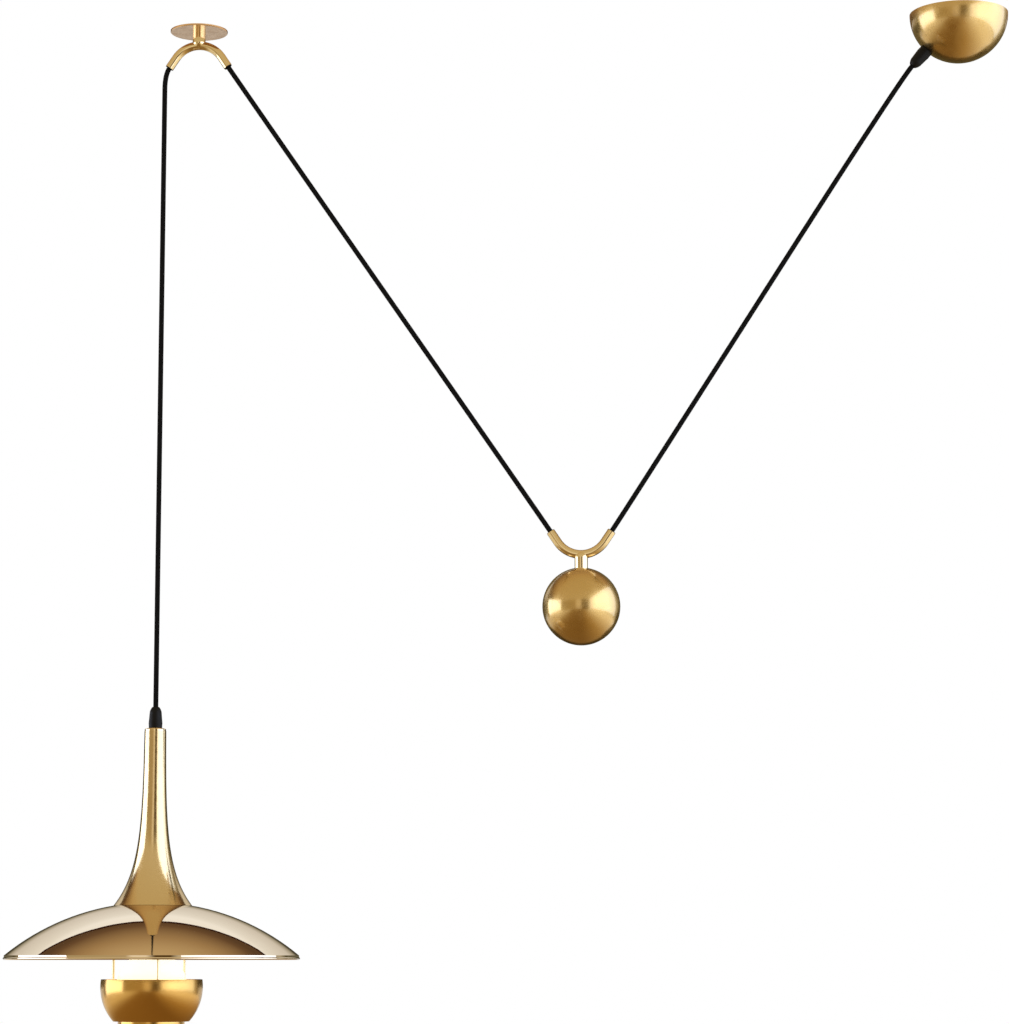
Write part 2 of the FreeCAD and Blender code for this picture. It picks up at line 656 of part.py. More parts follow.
def bowl_lugs():
    """Three blocks brazed inside the bowl that the rods pass through."""
    lugs = []
    for index in range(3):
        block = add("Part::Box", f"lug_block_{index}", Length="bowl_dia/2", Width="lug_width",
                    Height="lug_height")
        start = around_lamp(index, -size("lug_drop"), size("lug_inset"))
        block.Placement = start.multiply(at(0, -size("lug_width") / 2))
        inside = add("Part::Sphere", f"lug_seat_{index}", Radius="bowl_dia/2 - bowl_wall - braze_gap")
        inside.Placement = on_lamp(-size("bowl_centre"))
        seated = DOC.addObject("Part::Common", f"lug_seated_{index}")
        seated.Base = block
        seated.Tool = inside
        hole = rod(f"lug_hole_{index}", "rod_dia/2 + thread_gap", "3*lug_height",
                   around_lamp(index, -size("lug_drop + lug_height")))
        lugs.append(cut(f"bowl_lug_{index}", seated, hole))
    return grouped("bowl_lugs", lugs)


def rod_nuts():
    """A nut below each lug and one under each arm of the spider."""
    nuts = []
    for index in range(3):
        for place in (-size("lug_drop + m3_nut_height"), SPIDER_FOOT - size("m3_nut_height")):
            nuts.append(hex_nut(f"rod_nut_{len(nuts)}", "m3_nut_width", "m3_nut_height", "rod_dia",
                                around_lamp(index, place)))
    return grouped("rod_nuts", nuts)


def bowl_collar():
    """Turned ring under the bowl that frames the light's way down."""
    edge = "collar_dia/2"
    bore = "collar_bore/2"
    spigot = "collar_spigot_dia/2"
    foot = "-bowl_floor - collar_height"
    return turned("bowl_collar", [
        (bore, foot), (f"{edge} - collar_chamfer", foot), (edge, f"{foot} + collar_chamfer"),
        (edge, "-bowl_floor"), (spigot, "-bowl_floor"), (spigot, "-bowl_floor + collar_spigot"),
        (bore, "-bowl_floor + collar_spigot")], LAMP)


def collar_nut():
    """The thin ring that clamps the collar from inside the bowl."""
    low = "-bowl_floor + bowl_wall"
    high = f"{low} + collar_nut_height"
    bore = "collar_spigot_dia/2 + thread_gap"
    edge = "collar_nut_dia/2"
    return turned("collar_nut", [(bore, low), (edge, low), (edge, high), (bore, high)], LAMP)


# ---------------------------------------------------------------- lamp: lampholder and bulb

CAP_FOOT = f"({HOLDER_TOP} - holder_cap_height)"
SKIRT_FOOT = f"({CAP_FOOT} - skirt_height)"
BULB_TIP = "(bulb_length - bulb_centre - bulb_dia/2)"


def stem_nut():
    place = on_lamp(HOLDER_TOP)
    return hex_nut("stem_nut", "stem_nut_width", "stem_nut_height", "stem_dia", place)


def holder_cap():
    """Upper shell of the lampholder, screwed on the stem."""
    outer = "holder_dia/2"
    inner = "(holder_dia/2 - holder_wall)"
    bore = "stem_dia/2 + thread_gap"
    top = f"{HOLDER_TOP}"
    neck_radius = "stem_nut_width/2"
    bend = "(holder_dia/2 - stem_nut_width/2)"
    return turned("holder_cap", [
        (bore, f"{top} - holder_wall*2"), (f"{neck_radius} - holder_wall", f"{top} - holder_wall*2"),
        (inner, f"{top} - {bend}", f"{bend} + 2", -1), (inner, CAP_FOOT), (outer, CAP_FOOT),
        (outer, f"{top} - {bend}"), (neck_radius, top, f"{bend} + 2", 1), (bore, top)], LAMP)


def holder_skirt():
    outer = "holder_dia/2"
    inner = "(holder_dia/2 - holder_wall)"
    lip = f"({inner} - 1.6)"
    return turned("holder_skirt", [
        (lip, SKIRT_FOOT), (outer, SKIRT_FOOT), (outer, CAP_FOOT), (inner, CAP_FOOT),
        (inner, f"{SKIRT_FOOT} + 1.6"), (lip, f"{SKIRT_FOOT} + 1.6")], LAMP)


def holder_insert():
    """Porcelain cup that takes the screw cap; it rests on the skirt's lip."""
    outer = "(holder_dia/2 - holder_wall - fit_gap)"
    inner = f"({outer} - insert_wall)"
    low = f"{SKIRT_FOOT} + 1.6"
    roof = f"{BULB_TIP} + contact_thick + fit_gap"
    crown = f"{roof} + insert_crown"
    shoulder = f"{BULB_TIP} - 4"
    return turned("holder_insert", [
        (inner, low), (outer, low), (outer, shoulder), ("8", crown), ("0", crown), ("0", roof),
        ("8.5", roof), (inner, shoulder)], LAMP)


def centre_contact():
    """The springy disc that meets the bulb's tip."""
    low = f"{BULB_TIP} + fit_gap"
    high = f"{low} + contact_thick"
    return turned("centre_contact", [("0", low), ("6", low), ("6", high), ("0", high)], LAMP)


def bulb_glass():
    """Opal globe that narrows to the neck held in the screw cap."""
    outer = "bulb_dia/2"
    inner = "(bulb_dia/2 - bulb_wall)"
    neck = "bulb_neck_dia/2"
    cap_edge = f"{BULB_TIP} - bulb_cap_length"
    blend = "bulb_dia*0.2"
    reach = f"({neck} + {blend})"
    rise = f"sqrt(({outer} + {blend})^2 - {reach}^2)"
    share = f"({outer})/({outer} + {blend})"
    inner_blend = f"({blend} + bulb_wall)"
    inner_share = f"{inner}/({outer} + {blend})"
    return turned("bulb_glass", [
        ("0", f"-bulb_centre - {outer}"), (outer, "-bulb_centre", outer, 1),
        (f"{reach}*{share}", f"-bulb_centre + {rise}*{share}", outer, 1),
        (neck, f"-bulb_centre + {rise}", blend, -1), (neck, cap_edge),
        (f"{neck} - bulb_wall", cap_edge), (f"{neck} - bulb_wall", f"-bulb_centre + {rise}"),
        (f"{reach}*{inner_share}", f"-bulb_centre + {rise}*{inner_share}", inner_blend, 1),
        (inner, "-bulb_centre", inner, -1), ("0", f"-bulb_centre - {inner}", inner, -1)], LAMP)


def bulb_cap():
    """Screw cap with its insulator and tip contact."""
    radius = "bulb_cap_dia/2"
    low = f"{BULB_TIP} - bulb_cap_length"
    high = f"{BULB_TIP} - 5"
    return turned("bulb_cap", [
        ("0", low), (radius, low), (radius, high), (f"{radius} - 5", f"{BULB_TIP} - 1.5"),
        ("4.5", f"{BULB_TIP} - 1.5"), ("4.5", BULB_TIP), ("0", BULB_TIP)], LAMP)


# ---------------------------------------------------------------- cord

def rounded_path(points, radii_from="runs"):
    """Straight runs joined by tangent arcs, each 0.45 of the shorter run long on either side."""
    edges = []
    radii = []
    start = points[0]
    for index in range(1, len(points) - 1):
        before, corner, after = points[index - 1:index + 2]
        way_in = (corner - before).normalize()
        way_out = (after - corner).normalize()
        turn = way_in.getAngle(way_out)
        shorter = min((corner - before).Length, (after - corner).Length)
        reach = 0.45 * shorter
        radius = reach / tan(turn / 2)
        arc_start = corner - way_in * reach
        arc_end = corner + way_out * reach
        to_corner = (arc_start + arc_end) * 0.5 - corner
        middle = corner + to_corner.normalize() * (radius / cos(turn / 2) - radius)
        edges.append(Part.LineSegment(start, arc_start).toShape())
        edges.append(Part.Arc(arc_start, middle, arc_end).toShape())
        radii.append(round(radius, 1))
        start = arc_end
    edges.append(Part.LineSegment(start, points[-1]).toShape())
    return Part.Wire(edges), radii


def tube_along(wire, diameter):
    """A round solid along a wire, with its volume held against section times length."""
    first = wire.Edges[0]
    start = first.valueAt(first.FirstParameter)
    way = first.tangentAt(first.FirstParameter)
    section = Part.Wire([Part.makeCircle(diameter / 2, start, way)])
    solid = wire.makePipeShell([section], True, False)
    expected = pi * diameter ** 2 / 4 * wire.Length
    return solid, solid.Volume / expected


def cord_piece(name, wire, diameter, radii):
    piece = DOC.addObject("Part::Feature", name)
    piece.Shape, ratio = tube_along(wire, diameter)
    print(f"{name}: length {wire.Length:.1f} mm, radii {radii}, volume ratio {ratio:.4f}")
    return piece


def cord_drop():
    """From the bracket's left mouth, over its lip and straight down to the lamp's gland."""
    start, way = mouth(BRACKET_BOW, -1)
    bend = size("drop_bend")
    centre = Vector(LAMP_X + bend, 0, start.z - bend * sin(LEAN))
    middle = centre + Vector(-cos(LEAN / 2), 0, sin(LEAN / 2)) * bend
    arc_end = Vector(LAMP_X, 0, centre.z)
    foot = Vector(LAMP_X, 0, LAMP.Base.z + NECK_TOP + size("gland_height"))
    wire = Part.Wire([Part.Arc(start, middle, arc_end).toShape(),
                      Part.LineSegment(arc_end, foot).toShape()])
    return cord_piece("cord_drop", wire, size("cord_dia"), [bend])


def cord_leg(name, start, way, start_lead, end, end_way, end_lead):
    """A taut leg that leaves one end and meets the other in line with what holds it."""
    points = [start, start + way * start_lead, end + end_way * end_lead, end]
    wire, radii = rounded_path(points)
    return cord_piece(name, wire, size("cord_dia"), radii)


def cord_middle_leg():
    lead = size("lead_length")
    start, way = mouth(BRACKET_BOW, 1)
    end, end_way = mouth(SADDLE_BOW, -1)
    return cord_leg("cord_middle_leg", start, way, lead, end, end_way, lead)


def cord_right_leg():
    start, way = mouth(SADDLE_BOW, 1)
    seat = size("sqrt((canopy_dia/2)^2 - (gland_thread/2)^2)")
    end = CANOPY.Base + GLAND_WAY * (seat + size("gland_height"))
    return cord_leg("cord_right_leg", start, way, size("lead_length"), end, GLAND_WAY,
                    size("gland_lead"))


def cord_in_tube(name, bow):
    return bent_rod(name, "cord_dia/2", bow)


def tail_start():
    """Where the cord comes out of the gland's stem inside the canopy."""
    seat = size("sqrt((canopy_dia/2)^2 - (gland_thread/2)^2)")
    return CANOPY.Base + GLAND_WAY * (seat - size("gland_stem"))


def cord_tail():
    """The jacketed end of the cord inside the canopy."""
    start = tail_start()
    wire = Part.Wire([Part.LineSegment(start, start - GLAND_WAY * size("tail_length")).toShape()])
    return cord_piece("cord_tail", wire, size("cord_dia"), [])


def tail_wires():
    """Three cores from the cord's end to the block's poles."""
    entry_height = -size("strap_thick + block_height/2")
    entry_x = size("canopy_reach - block_shift")
    fan = size("cord_dia/2 - wire_dia/2 - 0.3")
    wires = []
    for pole in (-1, 0, 1):
        start = tail_start() - GLAND_WAY * size("tail_length") + Vector(0, pole * fan, 0)
        end = Vector(entry_x + 4, pole * size("pole_pitch"), entry_height)
        lead = size("wire_lead")
        points = [start, start - GLAND_WAY * lead, end - Vector(lead, 0, 0), end]
        wire, radii = rounded_path(points)
        wires.append(cord_piece(f"tail_wire_{pole + 1}", wire, size("wire_dia"), radii))
    return grouped("tail_wires", wires)


# ---------------------------------------------------------------- build, check and write

def build_parts():
    return [
        bracket_disc(), bracket_stud(), bent_tube("bracket_tube", BRACKET_BOW),
        mouth_liners("bracket_liners", BRACKET_BOW),
        canopy_shell(), canopy_strap(), canopy_screws(), terminal_block(), canopy_gland(),
        canopy_gland_nut(), cord_tail(), tail_wires(),
        bent_tube("saddle_tube", SADDLE_BOW), mouth_liners("saddle_liners", SADDLE_BOW),
        saddle_stud(), ball_upper_half(), ball_lower_half(), seam_ring(), ball_ballast(),
        weight_rod(), weight_nuts(), ballast_spacer(),
        cord_gland("lamp_gland", on_lamp(NECK_TOP)), neck_cap(), neck(), stem_tube(), shade(),
        spider(), support_rods(), rod_nuts(), bowl(), bowl_lugs(), bowl_collar(), collar_nut(),
        stem_nut(), holder_cap(), holder_skirt(), holder_insert(), centre_contact(),
        bulb_glass(), bulb_cap(),
        cord_in_tube("cord_in_bracket", BRACKET_BOW), cord_in_tube("cord_in_saddle", SADDLE_BOW),
        cord_drop(), cord_middle_leg(), cord_right_leg(),
    ]


def check_document():
    failed = [o.Name for o in DOC.Objects if {"Invalid", "Error"} & set(o.State)]
    if failed:
        raise RuntimeError("failed features: " + ", ".join(failed))


def write_parts(parts):
    os.makedirs("parts", exist_ok=True)
    for part in parts:
        part.Label = part.Name
        shape = part.Shape
        if shape.isNull() or not shape.isValid() or not shape.Solids:
            raise RuntimeError(f"{part.Label} has no sound solid")
        shape.exportStep(f"parts/{part.Label}.step")
        print(f"{part.Label}: {len(shape.Solids)} solids, {shape.Volume / 1000:.2f} cm3")
    print(f"{len(parts)} parts written")


PARTS = build_parts()
DOC.recompute()
check_document()
write_parts(PARTS)
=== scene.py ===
# %% [markdown]
# # A rise and fall pendant in polished brass
# The lamp hangs on a braided cord that runs over a bracket, down to a ball weight and up to a
# canopy. The solids come from the CAD frame. This notebook gives them smooth skins and finishes,
# makes the braided cords, and sets up the camera and a plain studio.

import json
from math import cos, pi, radians, sin, tan

import bmesh
import bpy
from mathutils import Matrix, Vector
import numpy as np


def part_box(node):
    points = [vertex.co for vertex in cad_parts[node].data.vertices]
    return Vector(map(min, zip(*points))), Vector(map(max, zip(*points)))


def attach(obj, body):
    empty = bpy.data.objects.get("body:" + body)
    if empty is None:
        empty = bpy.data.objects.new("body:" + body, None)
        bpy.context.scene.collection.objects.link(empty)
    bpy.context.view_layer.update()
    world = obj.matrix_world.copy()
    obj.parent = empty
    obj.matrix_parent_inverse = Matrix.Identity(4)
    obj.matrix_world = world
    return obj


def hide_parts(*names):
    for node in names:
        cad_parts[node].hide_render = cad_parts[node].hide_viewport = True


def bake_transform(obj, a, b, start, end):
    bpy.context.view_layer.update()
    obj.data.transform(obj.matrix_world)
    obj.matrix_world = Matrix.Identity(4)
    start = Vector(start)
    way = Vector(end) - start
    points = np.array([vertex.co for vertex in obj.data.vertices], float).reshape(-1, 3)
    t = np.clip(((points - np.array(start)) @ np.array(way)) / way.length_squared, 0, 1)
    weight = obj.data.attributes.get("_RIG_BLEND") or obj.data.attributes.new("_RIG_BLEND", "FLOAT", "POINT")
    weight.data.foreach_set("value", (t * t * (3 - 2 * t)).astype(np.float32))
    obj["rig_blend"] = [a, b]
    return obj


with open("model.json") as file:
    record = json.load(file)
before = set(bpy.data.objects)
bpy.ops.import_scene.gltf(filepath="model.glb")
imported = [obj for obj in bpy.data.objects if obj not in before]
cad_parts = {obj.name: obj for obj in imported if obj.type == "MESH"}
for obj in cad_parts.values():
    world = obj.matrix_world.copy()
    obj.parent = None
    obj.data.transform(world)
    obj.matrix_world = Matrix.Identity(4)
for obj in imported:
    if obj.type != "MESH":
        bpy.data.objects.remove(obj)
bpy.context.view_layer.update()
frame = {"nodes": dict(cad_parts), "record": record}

# %% [markdown]
# ## Camera
# The picture was taken level with the shade's rim, from 4.4 m away and a little to the right,
# looking slightly up. A long lens at that distance keeps the object's verticals almost parallel.
# The camera is placed from those facts, so nothing needs shifting or cropping.

# %% Camera
CAMERA_YAW = radians(4.5)
CAMERA_PITCH = radians(7.853)
CAMERA_PLACE = (0.7759, -4.3864, -1.2941)
CAMERA_LENS = 114.19
SENSOR_WIDTH = 36


def make_camera():
    data = bpy.data.cameras.new("camera")
    data.lens = CAMERA_LENS
    data.sensor_width = SENSOR_WIDTH
    camera = bpy.data.objects.new("camera", data)
    camera.location = CAMERA_PLACE
    camera.rotation_euler = (pi / 2 + CAMERA_PITCH, 0, CAMERA_YAW)
    bpy.context.collection.objects.link(camera)
    bpy.context.scene.camera = camera
    return camera


print("camera lens:", make_camera().data.lens)

# %% [markdown]
# ## The cord's route
# One cord serves the whole lamp. It shows as three free legs: the drop to the lamp and the two
# legs that carry the weight. A taut cord is straight except near its guides, so each leg has only
# two points between its ends, in line with the tube or gland that it leaves. A NURBS spline of
# order 3 turns those points into one smooth line, and a tube mesh follows that line.

# %% Sizes the cord's route needs, in millimetres
LEG_ANGLE = radians(33.7)
TUBE_BEND = 38.5
TUBE_LEG = 17
BOW_DROP = 21
WEIGHT_REACH = 535.5
SADDLE_DROP = 746.7
CANOPY_REACH = 1060
CANOPY_RADIUS = 67.5
GLAND_ANGLE = radians(42)
GLAND_HEIGHT = 29.5
GLAND_THREAD = 10
GLAND_SEAT = (CANOPY_RADIUS ** 2 - (GLAND_THREAD / 2) ** 2) ** 0.5
DROP_BEND = 37.5
LEAD_LENGTH = 40
GLAND_LEAD = 25
CORD_DIAMETER = 7
DROP_LEAD = 6 * CORD_DIAMETER

half_span = TUBE_BEND * cos(LEG_ANGLE) + TUBE_LEG * sin(LEG_ANGLE)
bow_depth = TUBE_BEND * (1 - sin(LEG_ANGLE)) + TUBE_LEG * cos(LEG_ANGLE)
lamp_x = -(half_span + DROP_BEND * (1 - cos(LEG_ANGLE)))
print(f"mouths at +-{half_span:.1f} mm, {bow_depth:.1f} mm below the bow's top")

# %% Points of the three routes
away = Vector((sin(LEG_ANGLE), 0, -cos(LEG_ANGLE)))
left_mouth = Vector((-half_span, 0, -BOW_DROP - bow_depth))
right_mouth = Vector((half_span, 0, -BOW_DROP - bow_depth))
saddle_left = Vector((WEIGHT_REACH - half_span, 0, -SADDLE_DROP + bow_depth))
saddle_right = Vector((WEIGHT_REACH + half_span, 0, -SADDLE_DROP + bow_depth))
gland_way = Vector((-sin(GLAND_ANGLE), 0, -cos(GLAND_ANGLE)))
canopy_gland_tip = Vector((CANOPY_REACH, 0, 0)) + gland_way * (GLAND_SEAT + GLAND_HEIGHT)
lamp_gland_tip = Vector((lamp_x, 0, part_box("lamp_gland")[1].z * 1000))

bend_reach = DROP_BEND * tan(LEG_ANGLE / 2)
drop_corner = left_mouth + Vector((-away.x, 0, away.z)) * bend_reach
DROP_ROUTE = [left_mouth, drop_corner, drop_corner - Vector((0, 0, DROP_LEAD)),
              lamp_gland_tip]
MIDDLE_ROUTE = [right_mouth, right_mouth + away * LEAD_LENGTH,
                saddle_left - away * LEAD_LENGTH, saddle_left]
RIGHT_ROUTE = [saddle_right, saddle_right + Vector((away.x, 0, -away.z)) * LEAD_LENGTH,
               canopy_gland_tip + gland_way * GLAND_LEAD, canopy_gland_tip]


# %% Turn a route into one smooth line
LINE_STEPS = 48


def route_curve(name, route, kind):
    """A curve object of one open spline, from a route in millimetres."""
    curve = bpy.data.curves.new(name + "_route", "CURVE")
    curve.dimensions = "3D"
    spline = curve.splines.new(kind)
    spline.points.add(len(route) - 1)
    for point, place in zip(spline.points, route):
        point.co = (*(place / 1000), 1)
    holder = bpy.data.objects.new(name + "_route", curve)
    bpy.context.collection.objects.link(holder)
    return holder


def evaluated_mesh(holder):
    """What Blender shows for an object, curve or modifiers and all, as a plain mesh."""
    bpy.context.view_layer.update()
    return bpy.data.meshes.new_from_object(holder.evaluated_get(
        bpy.context.evaluated_depsgraph_get()))


def smooth_line(name, route):
    """Points along the NURBS spline whose control points are the route, in metres."""
    holder = route_curve(name, route, "NURBS")
    holder.data.resolution_u = LINE_STEPS
    spline = holder.data.splines[0]
    spline.order_u = 3
    spline.use_endpoint_u = True
    line = [vertex.co.copy() for vertex in evaluated_mesh(holder).vertices]
    bpy.data.objects.remove(holder)
    return line


# %% [markdown]
# ## The cord's skin
# The braid is woven from twelve strands each way. Modelling every strand would take millions of
# faces, so the tube is plain and carries its own UV map: U counts strands round the cord and V
# counts the same distance along it. The material weaves its bumps from those two numbers, and
# the weave follows the cord however it bends.

# %% Tube with a map of strands
SIDES = 24
STRANDS = 12
END_ANGLE = radians(50)


def tube_mesh(name, line, diameter):
    """A closed tube along a line. U runs 0 to STRANDS round it, V by the same measure along it."""
    radius = diameter / 2
    strand = pi * diameter / STRANDS
    side = Vector((0, 1, 0))
    verts, faces, maps = [], [], []
    run = 0
    runs = []
    for index, place in enumerate(line):
        before = line[max(index - 1, 0)]
        after = line[min(index + 1, len(line) - 1)]
        way = (after - before).normalized()
        across = way.cross(side).normalized()
        if index:
            run += (place - line[index - 1]).length
        runs.append(run / strand)
        for corner in range(SIDES):
            turn = 2 * pi * corner / SIDES
            verts.append(place + (side * cos(turn) + across * sin(turn)) * radius)
    for index in range(len(line) - 1):
        for corner in range(SIDES):
            following = (corner + 1) % SIDES
            low, high = index * SIDES, (index + 1) * SIDES
            faces.append((low + corner, low + following, high + following, high + corner))
            u0, u1 = corner * STRANDS / SIDES, (corner + 1) * STRANDS / SIDES
            v0, v1 = runs[index], runs[index + 1]
            maps += [(u0, v0), (u1, v0), (u1, v1), (u0, v1)]
    last = (len(line) - 1) * SIDES
    faces.append(tuple(reversed(range(SIDES))))
    faces.append(tuple(range(last, last + SIDES)))
    maps += [(0, 0)] * (2 * SIDES)
    mesh = bpy.data.meshes.new(name)
    mesh.from_pydata(verts, [], faces)
    layer = mesh.uv_layers.new(name="strands")
    for loop, pair in zip(layer.data, maps):
        loop.uv = pair
    mesh.shade_smooth()
    mesh.set_sharp_from_angle(angle=END_ANGLE)
    return mesh


# %% Make the three legs of the cord
def length_of(line):
    return sum((b - a).length for a, b in zip(line, line[1:]))


def make_leg(name, route, node, moving_body):
    line = smooth_line(name, route)
    leg = bpy.data.objects.new(name, tube_mesh(name, line, CORD_DIAMETER / 1000))
    bpy.context.collection.objects.link(leg)
    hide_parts(node)
    top, foot = (line[0], line[-1]) if line[0].z > line[-1].z else (line[-1], line[0])
    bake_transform(leg, "fixed", moving_body, start=top, end=foot)
    print(f"{name}: {length_of(line):.3f} m")
    return leg


cord_legs = [
    make_leg("drop_cord", DROP_ROUTE, "cord_drop", "lamp"),
    make_leg("middle_cord", MIDDLE_ROUTE, "cord_middle_leg", "counterweight"),
    make_leg("right_cord", RIGHT_ROUTE, "cord_right_leg", "counterweight"),
]

# %% [markdown]
# ## A small kit for materials
# Every finish is a node tree around one Principled shader. One function adds a node, sets its
# options and links its inputs. Another turns the hex colours that a designer writes into the
# linear numbers that the renderer counts in.

# %% Helpers for materials
NOISE_LOW, NOISE_HIGH = 0.3, 0.7


def linear(code):
    """An sRGB hex colour as linear RGBA."""
    channels = [int(code[i:i + 2], 16) / 255 for i in (1, 3, 5)]
    return (*[c / 12.92 if c <= 0.04045 else ((c + 0.055) / 1.055) ** 2.4 for c in channels], 1)


def add_node(tree, kind, inputs=None, **settings):
    """Adds a node, sets its options, and fills or links its inputs by name or number."""
    node = tree.nodes.new(kind)
    for key, value in settings.items():
        setattr(node, key, value)
    for key, value in (inputs or {}).items():
        if isinstance(value, bpy.types.NodeSocket):
            tree.links.new(value, node.inputs[key])
        else:
            node.inputs[key].default_value = value
    return node


def new_finish(name, **shader_inputs):
    """A material with its Principled shader, ready for its pattern."""
    finish = bpy.data.materials.new(name)
    finish.use_nodes = True
    tree = finish.node_tree
    tree.nodes.clear()
    shader = add_node(tree, "ShaderNodeBsdfPrincipled",
                      {key.replace("_", " "): value for key, value in shader_inputs.items()})
    add_node(tree, "ShaderNodeOutputMaterial", {"Surface": shader.outputs[0]})
    return finish, tree, shader


def per_millimetre(millimetres):
    """A texture's scale for features of this size, as Object coordinates are in metres."""
    return 1000 / millimetres


def object_noise(tree, millimetres, detail=2.0):
    """Soft noise on Object coordinates with features of about this size."""
    place = add_node(tree, "ShaderNodeTexCoord")
    return add_node(tree, "ShaderNodeTexNoise", {"Vector": place.outputs["Object"],
                    "Scale": per_millimetre(millimetres), "Detail": detail})


def spread(tree, value, low, high):
    """Maps the part of a noise that holds nearly all its values onto a range."""
    return add_node(tree, "ShaderNodeMapRange", {"Value": value, "From Min": NOISE_LOW,
                    "From Max": NOISE_HIGH, "To Min": low, "To Max": high}).outputs[0]


def mottled(tree, shader, amount, first, second):
    """Colour that wanders between two hex colours. On a Mix node of colours, input 0 is the
    share, inputs 6 and 7 are the two colours, and output 2 is the result."""
    mix = add_node(tree, "ShaderNodeMix", {0: amount, 6: linear(first), 7: linear(second)},
                   data_type="RGBA")
    tree.links.new(mix.outputs[2], shader.inputs["Base Color"])


def bumped(tree, shader, height, millimetres, strength):
    """Raises the surface by a height pattern."""
    bump = add_node(tree, "ShaderNodeBump", {"Height": height, "Strength": strength,
                    "Distance": millimetres / 1000})
    tree.links.new(bump.outputs[0], shader.inputs["Normal"])


# %% [markdown]
# ## Brass
# The shade, neck, ball, canopy and tubes are brass, spun or turned and then buffed and
# lacquered. The more a piece is buffed, the sharper it shows its surroundings: the shade is
# nearly a mirror, and the ball and canopy are softer. The bowl and collar are rubbed satin, with
# faint rings from the lathe. One function makes all the buffed finishes, because they differ
# only in roughness, tone and lacquer.

# %% Polished and satin brass
def polished_brass(name, roughness, first, second, lacquer=0.5):
    """Buffed and lacquered brass: tight reflections, cloudier where hands have been, and a
    faint ripple from the buffing wheel."""
    finish, tree, shader = new_finish(name, Metallic=1.0, Coat_Weight=lacquer,
                                      Coat_Roughness=0.06)
    tone = object_noise(tree, 60)
    mottled(tree, shader, tone.outputs["Fac"], first, second)
    haze = object_noise(tree, 14, 4)
    tree.links.new(spread(tree, haze.outputs["Fac"], roughness * 0.8, roughness * 1.25),
                   shader.inputs["Roughness"])
    ripple = object_noise(tree, 35, 1)
    bumped(tree, shader, ripple.outputs["Fac"], 0.4, 0.12)
    return finish


def satin_brass(name):
    """Spun brass, rubbed satin and lacquered: soft stripes of light, with the faintest rings from
    the tool. The rings are drawn 3 mm apart, coarser than real, so that they show close up. A
    wave texture of scale 1 has a ring every pi / 10 metres, hence that factor."""
    finish, tree, shader = new_finish(name, Metallic=1.0, Coat_Weight=0.3, Coat_Roughness=0.2)
    place = add_node(tree, "ShaderNodeTexCoord")
    rings = add_node(tree, "ShaderNodeTexWave", {"Vector": place.outputs["Object"],
                     "Scale": per_millimetre(3) * pi / 10, "Distortion": 0.4, "Detail": 1.0},
                     bands_direction="Z")
    tone = object_noise(tree, 40, 3)
    mottled(tree, shader, tone.outputs["Fac"], "#E0B566", "#D6A858")
    tree.links.new(spread(tree, tone.outputs["Fac"], 0.19, 0.23), shader.inputs["Roughness"])
    bumped(tree, shader, rings.outputs["Fac"], 0.01, 0.1)
    return finish


FINISHES = {
    "shade_brass": polished_brass("mirror_polished_brass", 0.035, "#EEE0C8", "#EADABF", 0.2),
    "neck_brass": polished_brass("fine_polished_brass", 0.16, "#E4CD9E", "#DEC592"),
    "polished_brass": polished_brass("polished_brass", 0.12, "#F0DCB0", "#EAD4A2"),
    "disc_brass": polished_brass("brushed_flat_brass", 0.22, "#F4D0A6", "#EFC89A"),
    "ball_brass": polished_brass("buffed_brass", 0.27, "#D9B978", "#D1AF6A", 1.0),
    "satin_brass": satin_brass("satin_spun_brass"),
}
print("brass finishes:", len(FINISHES))

# %% [markdown]
# ## Cord, plastics and steel
# The cord's jacket is braided polyester: matt black, with a painted sheen on each strand's crown.
# The glands, liners and lampholder are moulded nylon with a fine eroded texture. Hidden fittings
# are zinc plated steel.

# %% Braided jacket
def braided_polyester(name):
    """Strands that cross at 45 degrees; where one lies over the other the bump is higher. The colour follows
    that height too: a painted sheen on each strand's crown and painted shade in the gaps between strands.
    The eye sees a matt black cord with a fine diamond pattern."""
    finish, tree, shader = new_finish(name, Roughness=0.75, Metallic=0.0,
                                      Specular_IOR_Level=0.12)
    strands = add_node(tree, "ShaderNodeUVMap", uv_map="strands")
    parts = add_node(tree, "ShaderNodeSeparateXYZ", {0: strands.outputs[0]})
    heights = []
    for operation in ("ADD", "SUBTRACT"):
        lean = add_node(tree, "ShaderNodeMath", {0: parts.outputs[0], 1: parts.outputs[1]},
                        operation=operation)
        turn = add_node(tree, "ShaderNodeMath", {0: lean.outputs[0], 1: pi}, operation="MULTIPLY")
        wave = add_node(tree, "ShaderNodeMath", {0: turn.outputs[0]}, operation="SINE")
        heights.append(add_node(tree, "ShaderNodeMath", {0: wave.outputs[0]},
                                operation="ABSOLUTE").outputs[0])
    weave = add_node(tree, "ShaderNodeMath", {0: heights[0], 1: heights[1]}, operation="MULTIPLY")
    # The weave's height picks the colour: painted sheen on the strands' crowns, painted shade in the gaps
    # between them.
    mottled(tree, shader, weave.outputs[0], "#020202", "#0E0E10")
    bumped(tree, shader, weave.outputs[0], 0.45, 0.9)
    return finish


# %% Moulded, plated and fired finishes
def moulded_nylon(name, first, second, roughness, shine=0.5):
    """Injection moulded nylon with a spark-eroded skin, 0.6 mm grain, which spreads its
    highlights."""
    finish, tree, shader = new_finish(name, Metallic=0.0, IOR=1.5, Specular_IOR_Level=shine)
    grain = object_noise(tree, 0.6, 3)
    tone = object_noise(tree, 20)
    mottled(tree, shader, tone.outputs["Fac"], first, second)
    tree.links.new(spread(tree, grain.outputs["Fac"], roughness - 0.07, roughness + 0.07),
                   shader.inputs["Roughness"])
    bumped(tree, shader, grain.outputs["Fac"], 0.05, 0.4)
    return finish


